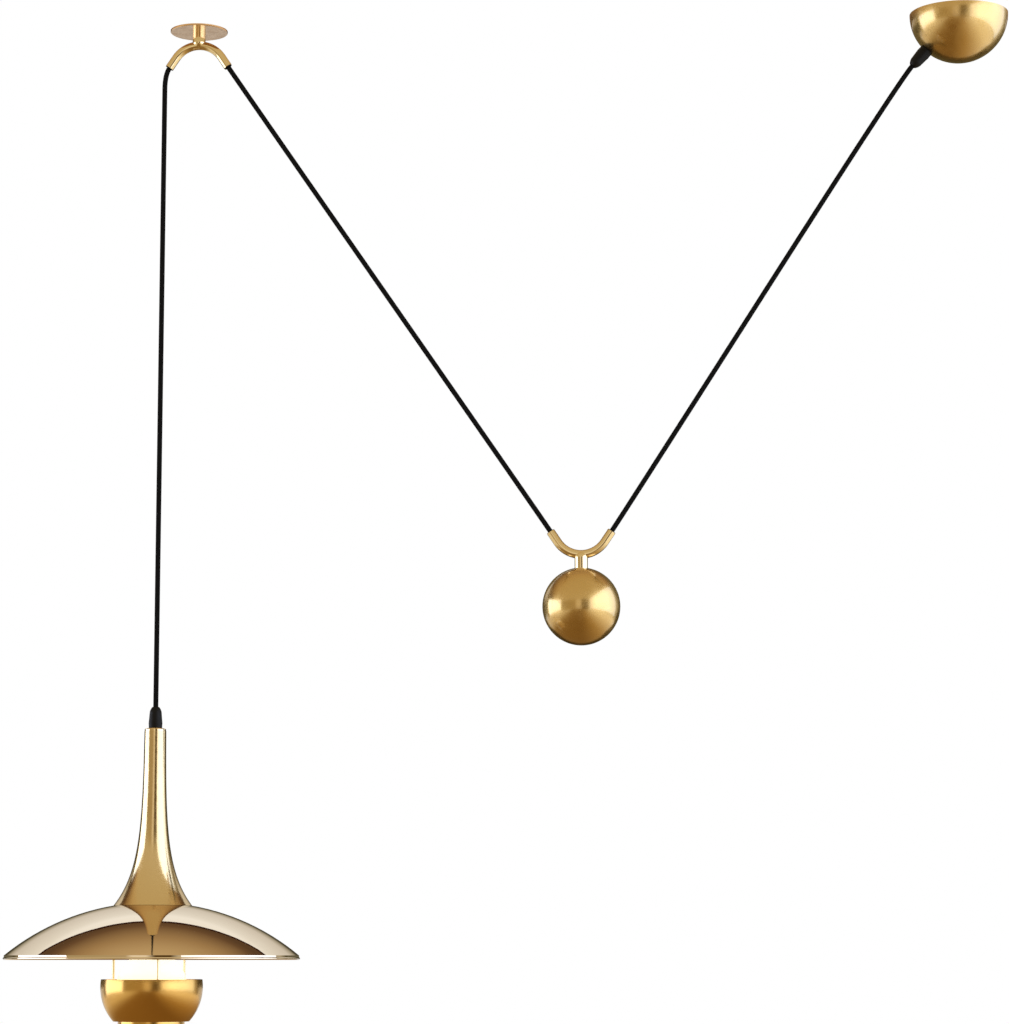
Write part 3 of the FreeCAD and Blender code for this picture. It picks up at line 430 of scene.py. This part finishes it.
def zinc_steel(name):
    """Plated steel: cloudy grey, half polished, with no clear reflections."""
    finish, tree, shader = new_finish(name, Metallic=1.0)
    cloud = object_noise(tree, 5, 4)
    mottled(tree, shader, cloud.outputs["Fac"], "#B9BBBD", "#A6A49C")
    tree.links.new(spread(tree, cloud.outputs["Fac"], 0.25, 0.42), shader.inputs["Roughness"])
    return finish


def cast_iron(name):
    """Sand cast iron: dark and dull, with the mould's grain of about 1.5 mm."""
    finish, tree, shader = new_finish(name, Metallic=0.6)
    sand = object_noise(tree, 1.5, 5)
    mottled(tree, shader, sand.outputs["Fac"], "#3A3936", "#23221F")
    tree.links.new(spread(tree, sand.outputs["Fac"], 0.6, 0.8), shader.inputs["Roughness"])
    bumped(tree, shader, sand.outputs["Fac"], 0.3, 0.5)
    return finish


def fired(name, first, second, roughness, clear=0.4):
    """Glazed porcelain or enamel: white body under a clear coat."""
    finish, tree, shader = new_finish(name, Metallic=0.0, IOR=1.5, Coat_Weight=clear)
    tone = object_noise(tree, 25, 3)
    mottled(tree, shader, tone.outputs["Fac"], first, second)
    tree.links.new(spread(tree, tone.outputs["Fac"], roughness * 0.9, roughness * 1.2),
                   shader.inputs["Roughness"])
    return finish


def lit_opal_glass(name):
    """Opal glass with the lamp switched on: it glows evenly, warm white."""
    finish, tree, shader = new_finish(name, Metallic=0.0, IOR=1.5,
                                      Emission_Color=linear("#FFEFC4"), Emission_Strength=1.05)
    tone = object_noise(tree, 30, 2)
    mottled(tree, shader, tone.outputs["Fac"], "#FBF6EA", "#F4EEDF")
    tree.links.new(spread(tree, tone.outputs["Fac"], 0.12, 0.18), shader.inputs["Roughness"])
    return finish


FINISHES.update({
    "black_braid": braided_polyester("braided_polyester"),
    "black_plastic": moulded_nylon("black_nylon", "#040404", "#090909", 0.5, 0.2),
    "white_plastic": moulded_nylon("white_nylon", "#E4E2DA", "#DAD7CC", 0.35),
    "wire_jackets": moulded_nylon("soft_wire_jacket", "#6B4128", "#5A3520", 0.4),
    "zinc_steel": zinc_steel("zinc_plated_steel"),
    "cast_iron": cast_iron("sand_cast_iron"),
    "porcelain": fired("glazed_porcelain", "#F0EEE6", "#E6E3D8", 0.15),
    "white_enamel": fired("white_lacquer", "#F2EFE8", "#EBE7DD", 0.4, 0.1),
    "opal_glass": lit_opal_glass("lit_opal_glass"),
    "nickel_cap": zinc_steel("nickel_plated_cap"),
})
for leg in cord_legs:
    leg.data.materials.append(FINISHES["black_braid"])

# %% [markdown]
# ## Smooth skins for the solids
# A solid from CAD arrives as loose flat triangles. On a mirror each one would flash by itself.
# Each solid gets a copy whose triangles are welded and shaded smooth, with its true edges kept
# sharp. The curves are finely divided already, so nothing has to be rebuilt.

# %% Weld and smooth one node
CLOSE = 1e-6
TRUE_EDGE = radians(28)


def welded(node):
    """A copy of a node's mesh with its triangles joined and its true edges sharp."""
    mesh = frame["nodes"][node].data.copy()
    work = bmesh.new()
    work.from_mesh(mesh)
    bmesh.ops.remove_doubles(work, verts=work.verts, dist=CLOSE)
    work.to_mesh(mesh)
    work.free()
    for name in [attribute.name for attribute in mesh.attributes if "normal" in attribute.name]:
        mesh.attributes.remove(mesh.attributes[name])
    mesh.shade_smooth()
    mesh.set_sharp_from_angle(angle=TRUE_EDGE)
    return mesh


# %% Dress one node in its finish
def place_on_body(piece, node):
    """The piece stands for the node and moves with its body."""
    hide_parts(node)
    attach(piece, BODY_OF[node])


def dress(node, finish, second=None, chosen=None):
    """A smooth copy of a node in its finish. Faces that chosen() picks take the second finish."""
    mesh = welded(node)
    mesh.materials.clear()
    mesh.materials.append(FINISHES[finish])
    if second:
        mesh.materials.append(FINISHES[second])
    for face in mesh.polygons:
        face.material_index = 1 if second and chosen(face) else 0
    piece = bpy.data.objects.new(node + "_skin", mesh)
    bpy.context.collection.objects.link(piece)
    place_on_body(piece, node)
    return piece


SLOT_OF = {part["node"]: part["material_slot"] for part in frame["record"]["subparts"]}
BODY_OF = {node: body for body, nodes in frame["record"]["behaviour"]["bodies"].items()
           for node in nodes}

# %% [markdown]
# ## Pieces that repeat round the lamp
# Three threaded rods hold the bowl, each with a nut under the spider and a nut under its lug. On
# the real lamp they are one bought rod and one bought nut, used again and again, so one of each
# is modelled and Geometry Nodes sets copies on a circle. The tree's inputs are what a maker
# would change: the piece, how many, the circle, and the turn of the first.

# %% A node tree that sets copies of a piece on a circle
def add_inputs(tree, sockets):
    """Gives a node tree its named inputs, and returns their identifiers by name."""
    for name, kind in sockets:
        tree.interface.new_socket(name=name, in_out="INPUT", socket_type="NodeSocket" + kind)
    tree.interface.new_socket(name="Geometry", in_out="OUTPUT", socket_type="NodeSocketGeometry")
    return {item.name: item.identifier for item in tree.interface.items_tree
            if item.in_out == "INPUT"}


def copies_on_a_circle():
    tree = bpy.data.node_groups.new("copies_on_a_circle", "GeometryNodeTree")
    names = add_inputs(tree, [("Geometry", "Geometry"), ("Piece", "Object"), ("Count", "Int"),
                              ("Radius", "Float"), ("Turn", "Float"), ("Centre", "Vector"),
                              ("Finish", "Material")])
    given = add_node(tree, "NodeGroupInput").outputs
    circle = add_node(tree, "GeometryNodeMeshCircle", {"Vertices": given["Count"],
                      "Radius": given["Radius"]})
    spin = add_node(tree, "ShaderNodeCombineXYZ", {"Z": given["Turn"]})
    placed = add_node(tree, "GeometryNodeTransform", {"Geometry": circle.outputs[0],
                      "Translation": given["Centre"], "Rotation": spin.outputs[0]})
    step = add_node(tree, "ShaderNodeMath", {0: 2 * pi, 1: given["Count"]}, operation="DIVIDE")
    index = add_node(tree, "GeometryNodeInputIndex")
    facing = add_node(tree, "ShaderNodeMath", {0: step.outputs[0], 1: index.outputs[0],
                      2: given["Turn"]}, operation="MULTIPLY_ADD")
    outward = add_node(tree, "ShaderNodeCombineXYZ", {"Z": facing.outputs[0]})
    piece = add_node(tree, "GeometryNodeObjectInfo", {"Object": given["Piece"]})
    copies = add_node(tree, "GeometryNodeInstanceOnPoints", {"Points": placed.outputs[0],
                      "Instance": piece.outputs["Geometry"], "Rotation": outward.outputs[0]})
    solid = add_node(tree, "GeometryNodeRealizeInstances", {0: copies.outputs[0]})
    dressed = add_node(tree, "GeometryNodeSetMaterial", {"Geometry": solid.outputs[0],
                       "Material": given["Finish"]})
    add_node(tree, "NodeGroupOutput", {0: dressed.outputs[0]})
    return tree, names


CIRCLE_TREE, CIRCLE_INPUTS = copies_on_a_circle()
print("inputs of the circle tree:", sorted(CIRCLE_INPUTS))


# %% Run a node tree and keep its result as a plain mesh
def grown(name, base, tree, names, values):
    """The mesh that a tree grows on a base object, in a new object without the modifier."""
    modifier = base.modifiers.new("grow", "NODES")
    modifier.node_group = tree
    for key, value in values.items():
        modifier[names[key]] = value
    mesh = evaluated_mesh(base)
    mesh.name = name
    base.modifiers.remove(modifier)
    bpy.data.objects.remove(base)
    piece = bpy.data.objects.new(name, mesh)
    bpy.context.collection.objects.link(piece)
    return piece


# %% Turn one piece on the lathe
def template(name, profile, sides, sharp_degrees=40):
    """A turned piece about its own upright axis. The profile is (radius, height) in millimetres
    and closes on itself. Six sides make a nut."""
    mesh = bpy.data.meshes.new(name)
    work = bmesh.new()
    rings = []
    for side in range(sides):
        turn = 2 * pi * side / sides
        rings.append([work.verts.new((r / 1000 * cos(turn), r / 1000 * sin(turn), z / 1000))
                      for r, z in profile])
    for side, ring in enumerate(rings):
        following = rings[(side + 1) % sides]
        for corner in range(len(profile)):
            onward = (corner + 1) % len(profile)
            work.faces.new((ring[corner], following[corner], following[onward], ring[onward]))
    bmesh.ops.remove_doubles(work, verts=work.verts, dist=CLOSE / 10)
    bmesh.ops.recalc_face_normals(work, faces=work.faces)
    work.to_mesh(mesh)
    work.free()
    mesh.shade_smooth()
    mesh.set_sharp_from_angle(angle=radians(sharp_degrees))
    piece = bpy.data.objects.new(name, mesh)
    bpy.context.collection.objects.link(piece)
    return piece


# %% Sizes of the rods and nuts, in millimetres
LAMP_DROP = 1294
LAMP_PLACE = Vector((lamp_x, 0, -LAMP_DROP))
ROD_COUNT = 3
ROD_CIRCLE = 112
ROD_TURN = radians(18.7 - 90)
ROD_RADIUS = 1.6
ROD_SIDES = 24
ROD_CHAMFER = 0.5
ROD_BELOW_LUG = 5
LUG_DROP = 44
THREAD_PITCH = 0.5
THREAD_DEPTH = 0.28
NUT_SIDES = 6
NUT_WIDTH = 5.5
NUT_HEIGHT = 2.4
NUT_CHAMFER = (0.35, 0.3)
NUT_BORE = ROD_RADIUS + 0.1
BORE_CHAMFER = 0.25
rod_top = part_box("support_rods")[1].z * 1000 - LAMP_PLACE.z
rod_foot = -LUG_DROP - ROD_BELOW_LUG
upper_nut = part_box("rod_nuts")[1].z * 1000 - LAMP_PLACE.z - NUT_HEIGHT
print(f"rods from {rod_foot:.1f} to {rod_top:.1f} mm, upper nuts at {upper_nut:.1f} mm")


# %% One rod and one nut
def rod_profile():
    """Half outline of a rod: a chamfered foot, a thread up to its lug, and a plain shank."""
    outline = [(0, rod_foot), (ROD_RADIUS - ROD_CHAMFER, rod_foot)]
    height = rod_foot + ROD_CHAMFER
    while height < -LUG_DROP - THREAD_PITCH / 2:
        outline += [(ROD_RADIUS, height), (ROD_RADIUS - THREAD_DEPTH, height + THREAD_PITCH / 2)]
        height += THREAD_PITCH
    return outline + [(ROD_RADIUS, height), (ROD_RADIUS, rod_top), (0, rod_top)]


def nut_profile():
    """Half outline of a nut through its corners, with both faces chamfered and a bore."""
    corner = NUT_WIDTH / 2 / cos(pi / NUT_SIDES)
    inward, upward = NUT_CHAMFER
    mouth = NUT_BORE + BORE_CHAMFER
    return [(NUT_BORE, BORE_CHAMFER), (mouth, 0), (corner - inward, 0), (corner, upward),
            (corner, NUT_HEIGHT - upward), (corner - inward, NUT_HEIGHT), (mouth, NUT_HEIGHT),
            (NUT_BORE, NUT_HEIGHT - BORE_CHAMFER)]


# %% Set the rods and the nuts round the lamp
def set_round_lamp(name, piece, height, finish, node):
    """Copies of a piece on the rods' circle, as one mesh that rides with the lamp."""
    base = bpy.data.objects.new(name + "_base", bpy.data.meshes.new(name + "_base"))
    bpy.context.collection.objects.link(base)
    centre = LAMP_PLACE + Vector((0, 0, height))
    ring = grown(name, base, CIRCLE_TREE, CIRCLE_INPUTS, {
        "Piece": piece, "Count": ROD_COUNT, "Radius": ROD_CIRCLE / 2 / 1000, "Turn": ROD_TURN,
        "Centre": tuple(centre / 1000), "Finish": FINISHES[finish]})
    bpy.data.objects.remove(piece)
    place_on_body(ring, node)
    print(name, "faces:", len(ring.data.polygons))
    return ring


set_round_lamp("bowl_rods", template("one_rod", rod_profile(), ROD_SIDES), 0, "polished_brass",
               "support_rods")
for place, height in (("lower_nuts", -LUG_DROP - NUT_HEIGHT), ("upper_nuts", upper_nut)):
    set_round_lamp(place, template("one_nut", nut_profile(), NUT_SIDES, sharp_degrees=20),
                   height, SLOT_OF["rod_nuts"], "rod_nuts")

# %% [markdown]
# ## Tubes that follow a bow
# The cord runs through two bent brass tubes, one under the ceiling and one on the weight. A tube
# bender pulls a straight tube round a wheel, which leaves two straight legs and one arc. The
# tree does the same: three points, the corner rounded to the wheel's radius, and a round
# section swept along that line, once for the outside and once, turned inside out, for the bore.

# %% A node tree that bends and sweeps a tube
def bent_tube_tree():
    tree = bpy.data.node_groups.new("bent_tube", "GeometryNodeTree")
    names = add_inputs(tree, [("Geometry", "Geometry"), ("Bend radius", "Float"),
                              ("Outside radius", "Float"), ("Bore radius", "Float"),
                              ("Steps", "Int"), ("Sides", "Int"), ("Finish", "Material")])
    given = add_node(tree, "NodeGroupInput").outputs
    bow = add_node(tree, "GeometryNodeFilletCurve", {"Curve": given["Geometry"],
                   "Count": given["Steps"], "Radius": given["Bend radius"]}, mode="POLY")
    skins = []
    for size_name in ("Outside radius", "Bore radius"):
        ring = add_node(tree, "GeometryNodeCurvePrimitiveCircle", {"Resolution": given["Sides"],
                        "Radius": given[size_name]})
        skins.append(add_node(tree, "GeometryNodeCurveToMesh", {"Curve": bow.outputs[0],
                              "Profile Curve": ring.outputs[0]}).outputs[0])
    turned_in = add_node(tree, "GeometryNodeFlipFaces", {"Mesh": skins[1]})
    both = add_node(tree, "GeometryNodeJoinGeometry")
    tree.links.new(skins[0], both.inputs[0])
    tree.links.new(turned_in.outputs[0], both.inputs[0])
    smooth = add_node(tree, "GeometryNodeSetShadeSmooth", {0: both.outputs[0]})
    solid = add_node(tree, "GeometryNodeRealizeInstances", {0: smooth.outputs[0]})
    dressed = add_node(tree, "GeometryNodeSetMaterial", {"Geometry": solid.outputs[0],
                       "Material": given["Finish"]})
    add_node(tree, "NodeGroupOutput", {0: dressed.outputs[0]})
    return tree, names


TUBE_TREE, TUBE_INPUTS = bent_tube_tree()
TUBE_OUTSIDE = 6
TUBE_BORE = 5
TUBE_STEPS = 48
TUBE_SIDES = 64
print("inputs of the tube tree:", sorted(TUBE_INPUTS))


# %% Close the mouths and set both tubes
def close_mouths(mesh):
    """Joins the outside to the bore with a flat ring at each mouth, and makes the ring's edges
    sharp."""
    work = bmesh.new()
    work.from_mesh(mesh)
    rims = [edge for edge in work.edges if edge.is_boundary]
    middle = sum((edge.verts[0].co.x for edge in rims), 0.0) / len(rims)
    for left in (True, False):
        rim = [edge for edge in rims if (edge.verts[0].co.x < middle) == left]
        bmesh.ops.bridge_loops(work, edges=rim)
    bmesh.ops.recalc_face_normals(work, faces=work.faces)
    work.to_mesh(mesh)
    work.free()
    mesh.set_sharp_from_angle(angle=END_ANGLE)


def set_bent_tube(name, node, route):
    """A bent tube whose route is its two mouths and the corner between its straight legs."""
    base = route_curve(name, route, "POLY")
    tube = grown(name, base, TUBE_TREE, TUBE_INPUTS, {
        "Bend radius": TUBE_BEND / 1000, "Outside radius": TUBE_OUTSIDE / 1000,
        "Bore radius": TUBE_BORE / 1000, "Steps": TUBE_STEPS, "Sides": TUBE_SIDES,
        "Finish": FINISHES["polished_brass"]})
    close_mouths(tube.data)
    place_on_body(tube, node)
    print(name, "faces:", len(tube.data.polygons))
    return tube


corner_rise = TUBE_BEND * (1 / sin(LEG_ANGLE) - 1)
bracket_corner = Vector((0, 0, -BOW_DROP + corner_rise))
saddle_corner = Vector((WEIGHT_REACH, 0, -SADDLE_DROP - corner_rise))
set_bent_tube("ceiling_bow", "bracket_tube", [left_mouth, bracket_corner, right_mouth])
set_bent_tube("weight_bow", "saddle_tube", [saddle_left, saddle_corner, saddle_right])

# %% [markdown]
# ## Which solid gets which finish
# Most solids take the finish that the record names for them. The shade is buffed more finely
# than the rest, the ball and canopy less, and the neck and the bracket's disc have tones of their
# own. The shade is white lacquered inside, so that it throws the light down.

# %% Dress every solid
SPECIAL = {"neck": "neck_brass", "ball_upper_half": "ball_brass", "ball_lower_half": "ball_brass",
           "canopy_shell": "ball_brass", "bracket_disc": "disc_brass"}
ALREADY_MADE = ("cord_drop", "cord_middle_leg", "cord_right_leg", "support_rods", "rod_nuts",
                "bracket_tube", "saddle_tube")
BEAD_HEIGHT = 0.0045
DOWNWARD = -0.2
rim_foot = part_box("shade")[0].z


def faces_down(face):
    """True on the shade's inner skin, above its rolled edge."""
    return face.normal.z < DOWNWARD and face.center.z > rim_foot + BEAD_HEIGHT


for node in SLOT_OF:
    if node in ALREADY_MADE:
        continue
    if node == "shade":
        dress(node, "shade_brass", "white_enamel", faces_down)
        continue
    dress(node, SPECIAL.get(node, SLOT_OF[node]))
print("dressed solids:", len(SLOT_OF) - len(ALREADY_MADE))

# %% [markdown]
# ## Studio
# The world is plain white, as in a product studio. The floor is pale where the lamp stands over
# it and fades to white further out, so that it has no edge. It shows from above only, so a
# camera below it still sees the lamp.

# %% World and floor
SOFT_LIGHT = 0.7
FLOOR_HEIGHT = -2.3
FLOOR_SIZE = 60
FADE_FROM, FADE_TO = 2.4, 7.0


def make_world():
    """White to the camera and to metal and glass, and a little softer as a light."""
    world = bpy.data.worlds.new("studio")
    world.use_nodes = True
    tree = world.node_tree
    tree.nodes.clear()
    path = add_node(tree, "ShaderNodeLightPath")
    seen = add_node(tree, "ShaderNodeMath", {0: path.outputs["Is Camera Ray"],
                    1: path.outputs["Is Glossy Ray"]}, operation="MAXIMUM")
    clear = add_node(tree, "ShaderNodeMath", {0: seen.outputs[0],
                     1: path.outputs["Is Transmission Ray"]}, operation="MAXIMUM")
    soft = add_node(tree, "ShaderNodeBackground", {0: (1, 1, 1, 1), 1: SOFT_LIGHT})
    white = add_node(tree, "ShaderNodeBackground", {0: (1, 1, 1, 1), 1: 1.0})
    mix = add_node(tree, "ShaderNodeMixShader", {0: clear.outputs[0], 1: soft.outputs[0],
                   2: white.outputs[0]})
    add_node(tree, "ShaderNodeOutputWorld", {0: mix.outputs[0]})
    bpy.context.scene.world = world


def flat_panel(name, centre, width, height, facing):
    """A rectangle whose front looks along facing."""
    panel = bpy.data.objects.new(name, bpy.data.meshes.new(name))
    w, h = width / 2, height / 2
    panel.data.from_pydata([(-w, -h, 0), (w, -h, 0), (w, h, 0), (-w, h, 0)], [], [(0, 1, 2, 3)])
    turn = Vector(facing).to_track_quat("Z", "Y").to_matrix().to_4x4()
    panel.data.transform(Matrix.Translation(centre) @ turn)
    bpy.context.collection.objects.link(panel)
    return panel


def make_floor():
    """A pale floor that fades into the white round it, and that nothing below it sees."""
    floor = flat_panel("floor", (0.5, 0, FLOOR_HEIGHT), FLOOR_SIZE, FLOOR_SIZE, (0, 0, 1))
    finish, tree, shader = new_finish("pale_floor", Roughness=0.8)
    tone = object_noise(tree, 900)
    mottled(tree, shader, tone.outputs["Fac"], "#F4F3F1", "#F0EFEC")
    place = add_node(tree, "ShaderNodeTexCoord")
    reach = add_node(tree, "ShaderNodeVectorMath", {0: place.outputs["Object"]},
                     operation="LENGTH")
    fade = add_node(tree, "ShaderNodeMapRange", {"Value": reach.outputs["Value"],
                    "From Min": FADE_FROM, "From Max": FADE_TO},
                    interpolation_type="SMOOTHSTEP")
    path = add_node(tree, "ShaderNodeLightPath")
    seen = add_node(tree, "ShaderNodeMath", {0: fade.outputs[0],
                    1: path.outputs["Is Camera Ray"]}, operation="MULTIPLY")
    white = add_node(tree, "ShaderNodeEmission", {0: (1, 1, 1, 1), 1: 1.0})
    faded = add_node(tree, "ShaderNodeMixShader", {0: seen.outputs[0], 1: shader.outputs[0],
                     2: white.outputs[0]})
    side = add_node(tree, "ShaderNodeNewGeometry")
    clear = add_node(tree, "ShaderNodeBsdfTransparent")
    one_sided = add_node(tree, "ShaderNodeMixShader", {0: side.outputs["Backfacing"],
                         1: faded.outputs[0], 2: clear.outputs[0]})
    surface = next(node for node in tree.nodes if node.type == "OUTPUT_MATERIAL")
    tree.links.new(one_sided.outputs[0], surface.inputs["Surface"])
    floor.data.materials.append(finish)


make_world()
make_floor()

# %% [markdown]
# ## What the brass sees
# Polished metal looks like whatever stands round it, so a studio is built for the reflections: a
# round room with two tall windows, a flag overhead whose far edge draws the dark line across the
# shade, a floor card, and small flags behind the ball and the canopy that darken their
# outlines. Each glows by itself in colours that change smoothly, is seen by reflections only,
# casts no shadow and lights nothing else. Large soft shapes were chosen because small lamps
# would show as hard spots on the ball.

# %% Glow that changes from place to place
def glowing(name, value_of, stops, strength=1.0):
    """A glow whose colour follows a number. The stops are (number, sRGB hex), in rising order."""
    finish = bpy.data.materials.new(name)
    finish.use_nodes = True
    tree = finish.node_tree
    tree.nodes.clear()
    place = add_node(tree, "ShaderNodeTexCoord")
    low, high = stops[0][0], stops[-1][0]
    number_here = value_of(tree, place.outputs["Object"])
    share = add_node(tree, "ShaderNodeMapRange", {"Value": number_here, "From Min": low,
                     "From Max": high})
    ramp = add_node(tree, "ShaderNodeValToRGB", {0: share.outputs[0]})
    for index, (number, code) in enumerate(stops):
        share_here = (number - low) / (high - low)
        if index < 2:  # a new ramp already has two stops
            stop = ramp.color_ramp.elements[index]
            stop.position = share_here
        else:
            stop = ramp.color_ramp.elements.new(share_here)
        stop.color = linear(code)
    glow = add_node(tree, "ShaderNodeEmission", {0: ramp.outputs[0], 1: strength})
    add_node(tree, "ShaderNodeOutputMaterial", {0: glow.outputs[0]})
    return finish


def along(way):
    """A number that grows along a direction, in metres from the origin."""
    def build(tree, place):
        return add_node(tree, "ShaderNodeVectorMath", {0: place, 1: way},
                        operation="DOT_PRODUCT").outputs["Value"]
    return build


def round_the_room(tree, place):
    """The bearing in degrees: 0 towards the camera's side, 90 to the right, 180 behind."""
    parts = add_node(tree, "ShaderNodeSeparateXYZ", {0: place})
    front = add_node(tree, "ShaderNodeMath", {0: parts.outputs[1], 1: -1.0}, operation="MULTIPLY")
    bearing = add_node(tree, "ShaderNodeMath", {0: parts.outputs[0], 1: front.outputs[0]},
                       operation="ARCTAN2")
    return add_node(tree, "ShaderNodeMath", {0: bearing.outputs[0], 1: 180 / pi},
                    operation="MULTIPLY").outputs[0]


# %% Cards and a wall that only reflections see
def only_in_reflections(card, finish):
    card.data.materials.append(finish)
    card.visible_camera = False
    card.visible_diffuse = False
    card.visible_shadow = False
    card.visible_transmission = False
    return card


def reflection_card(name, corners, finish):
    card = bpy.data.objects.new(name, bpy.data.meshes.new(name))
    card.data.from_pydata(corners, [], [tuple(range(len(corners)))])
    bpy.context.collection.objects.link(card)
    return only_in_reflections(card, finish)


WALL_STEPS = 48


def reflection_wall(name, radius, low, high, first, last, finish):
    """Part of an upright cylinder round the studio, between two bearings in degrees."""
    verts, faces = [], []
    for step in range(WALL_STEPS + 1):
        bearing = radians(first + (last - first) * step / WALL_STEPS)
        verts += [(radius * sin(bearing), -radius * cos(bearing), z) for z in (low, high)]
    for step in range(WALL_STEPS):
        faces.append((2 * step, 2 * step + 1, 2 * step + 3, 2 * step + 2))
    wall = bpy.data.objects.new(name, bpy.data.meshes.new(name))
    wall.data.from_pydata(verts, [], faces)
    bpy.context.collection.objects.link(wall)
    return only_in_reflections(wall, finish)


# %% The round room and its two windows
UP = (0, 0, 1)
ROOM_RADIUS = 6.0
WINDOW_RADIUS = 5.9
ROOM_COLOURS = [
    (-180, "#4A4432"), (-122, "#57503A"), (-112, "#A8987A"), (-30, "#B8A47C"), (-10, "#BCA680"),
    (-5, "#F2E4CC"), (6, "#F2E4CC"), (12, "#54401F"), (24, "#54401F"), (30, "#C8BCA4"),
    (128, "#B8AE98"), (138, "#57503A"), (180, "#4A4432")]
BACK_COLOURS = [
    (-1.45, "#8F8870"), (-1.2, "#4A4432"), (-0.2, "#4A4432"), (0.3, "#A89E88"), (1.0, "#D8D0C4"),
    (3.0, "#F0EEEA"), (3.8, "#FFFFFF")]
LEFT_WINDOW = [(-2.2, "#E4E8F4"), (1.3, "#DCE6FF")]
RIGHT_WINDOW = [(32, "#C0C0C8"), (52, "#E4EAF8"), (90, "#DCE6FF"), (122, "#B4BCCC")]

reflection_wall("room_front", ROOM_RADIUS, FLOOR_HEIGHT, 4.0, -125, 140,
                glowing("room_front", round_the_room, ROOM_COLOURS))
reflection_wall("room_back", ROOM_RADIUS, -1.45, 3.8, 140, 235,
                glowing("room_back", along(UP), BACK_COLOURS))
reflection_wall("left_window", WINDOW_RADIUS, -2.2, 1.3, -114, -58,
                glowing("left_window", along(UP), LEFT_WINDOW, 3.2))
reflection_wall("right_window", WINDOW_RADIUS, -2.0, 3.4, 32, 122,
                glowing("right_window", round_the_room, RIGHT_WINDOW, 2.8))
print("stops round the room:", len(ROOM_COLOURS))

# %% The overhead flag with its dark valance
# AWAY is the way from the camera to the lamp, seen from above, and ACROSS is to its right.
AWAY = Vector((-0.185, 0.983, 0))
ACROSS = Vector((0.983, 0.185, 0))
FLAG_HEIGHT = 0.35
VALANCE_FOOT = 0.24
FAR_EDGE = [(-3.4, 2.5), (-2.3, 1.95), (-1.17, 1.55), (-0.5, 1.31), (0, 1.25), (0.5, 1.31),
            (1.17, 1.55), (2.3, 1.95)]
OVERHEAD_COLOURS = [
    (-3.0, "#D6C6A6"), (-0.3, "#D0BC94"), (0.1, "#CDB183"), (0.6, "#A98A60"), (1.1, "#6E5238"),
    (1.3, "#5E4630")]
VALANCE_COLOURS = [(VALANCE_FOOT, "#3A1A0C"), (FLAG_HEIGHT, "#2A1208")]


def far_edge(height):
    """The far edge of the overhead flag. It bends away at the sides as the shade's line does."""
    return [tuple(Vector((lamp_x / 1000, 0, height)) + AWAY * back + ACROSS * side)
            for side, back in FAR_EDGE]


near_corners = [(2.4, -4.4, FLAG_HEIGHT), (-4.2, -4.4, FLAG_HEIGHT)]
top_edge, low_edge = far_edge(FLAG_HEIGHT), far_edge(VALANCE_FOOT)
reflection_card("overhead_flag", near_corners + top_edge,
                glowing("overhead_flag", along(AWAY), OVERHEAD_COLOURS))
for index in range(len(top_edge) - 1):
    reflection_card(f"valance_{index}", [top_edge[index], top_edge[index + 1],
                                         low_edge[index + 1], low_edge[index]],
                    glowing(f"valance_{index}", along(UP), VALANCE_COLOURS))

# %% The floor card and the two small flags behind the ball and the canopy
CARD_HEIGHT = -2.25
CARD_REACH = 6
CARD_BACK = 5.5
FLAG_BEHIND = 0.15
FLOOR_COLOURS = [
    (-6, "#E0D8CC"), (-2.4, "#D4C8B0"), (-1.3, "#8A6E44"), (0.6, "#7A5E36"), (1.5, "#A88C5E"),
    (3.5, "#F8F0E0"), (6, "#F8F0E0")]

reflection_card("low_flag", [(-CARD_REACH, -CARD_REACH, CARD_HEIGHT),
                             (CARD_REACH, -CARD_REACH, CARD_HEIGHT),
                             (CARD_REACH, CARD_BACK, CARD_HEIGHT),
                             (-CARD_REACH, CARD_BACK, CARD_HEIGHT)],
                glowing("low_flag", along((1, 0, 0)), FLOOR_COLOURS, 1.25))
for name, x, reach, low, high in (("ball_flag", WEIGHT_REACH / 1000, 0.17, -0.98, -0.66),
                                  ("canopy_flag", CANOPY_REACH / 1000, 0.2, -0.2, 0.0)):
    reflection_card(name, [(x - reach, FLAG_BEHIND, low), (x + reach, FLAG_BEHIND, low),
                           (x + reach, FLAG_BEHIND, high), (x - reach, FLAG_BEHIND, high)],
                    glowing(name, along(UP), [(low, "#2E2410"), (high, "#6A6040")]))

# %% [markdown]
# ## Light
# Two large soft boxes light the cord, the plastics and the floor. Reflections don't see them,
# because the windows above already stand for them there.

# %% Two soft boxes
def soft_box(name, place, size, power, aim):
    """A rectangular area lamp aimed at a point."""
    data = bpy.data.lights.new(name, "AREA")
    data.shape = "RECTANGLE"
    data.size, data.size_y = size
    data.energy = power
    lamp = bpy.data.objects.new(name, data)
    lamp.location = place
    lamp.rotation_euler = (Vector(aim) - Vector(place)).to_track_quat("-Z", "Y").to_euler()
    lamp.visible_glossy = False
    bpy.context.collection.objects.link(lamp)
    return lamp


soft_box("left_soft_box", (-3.6, -0.5, -0.9), (2.4, 4.2), 50, (0.5, -0.2, -0.8))
right_box = soft_box("right_soft_box", (4.8, -0.6, -0.3), (3.4, 4.6), 80, (0.5, -0.2, -0.7))
print("soft boxes, the stronger of", right_box.data.energy, "W")

# %% [markdown]
# ## Finish
# The view transform is Standard, so that a colour shows as it was written.

# %% Finish
bpy.context.scene.view_settings.view_transform = "Standard"
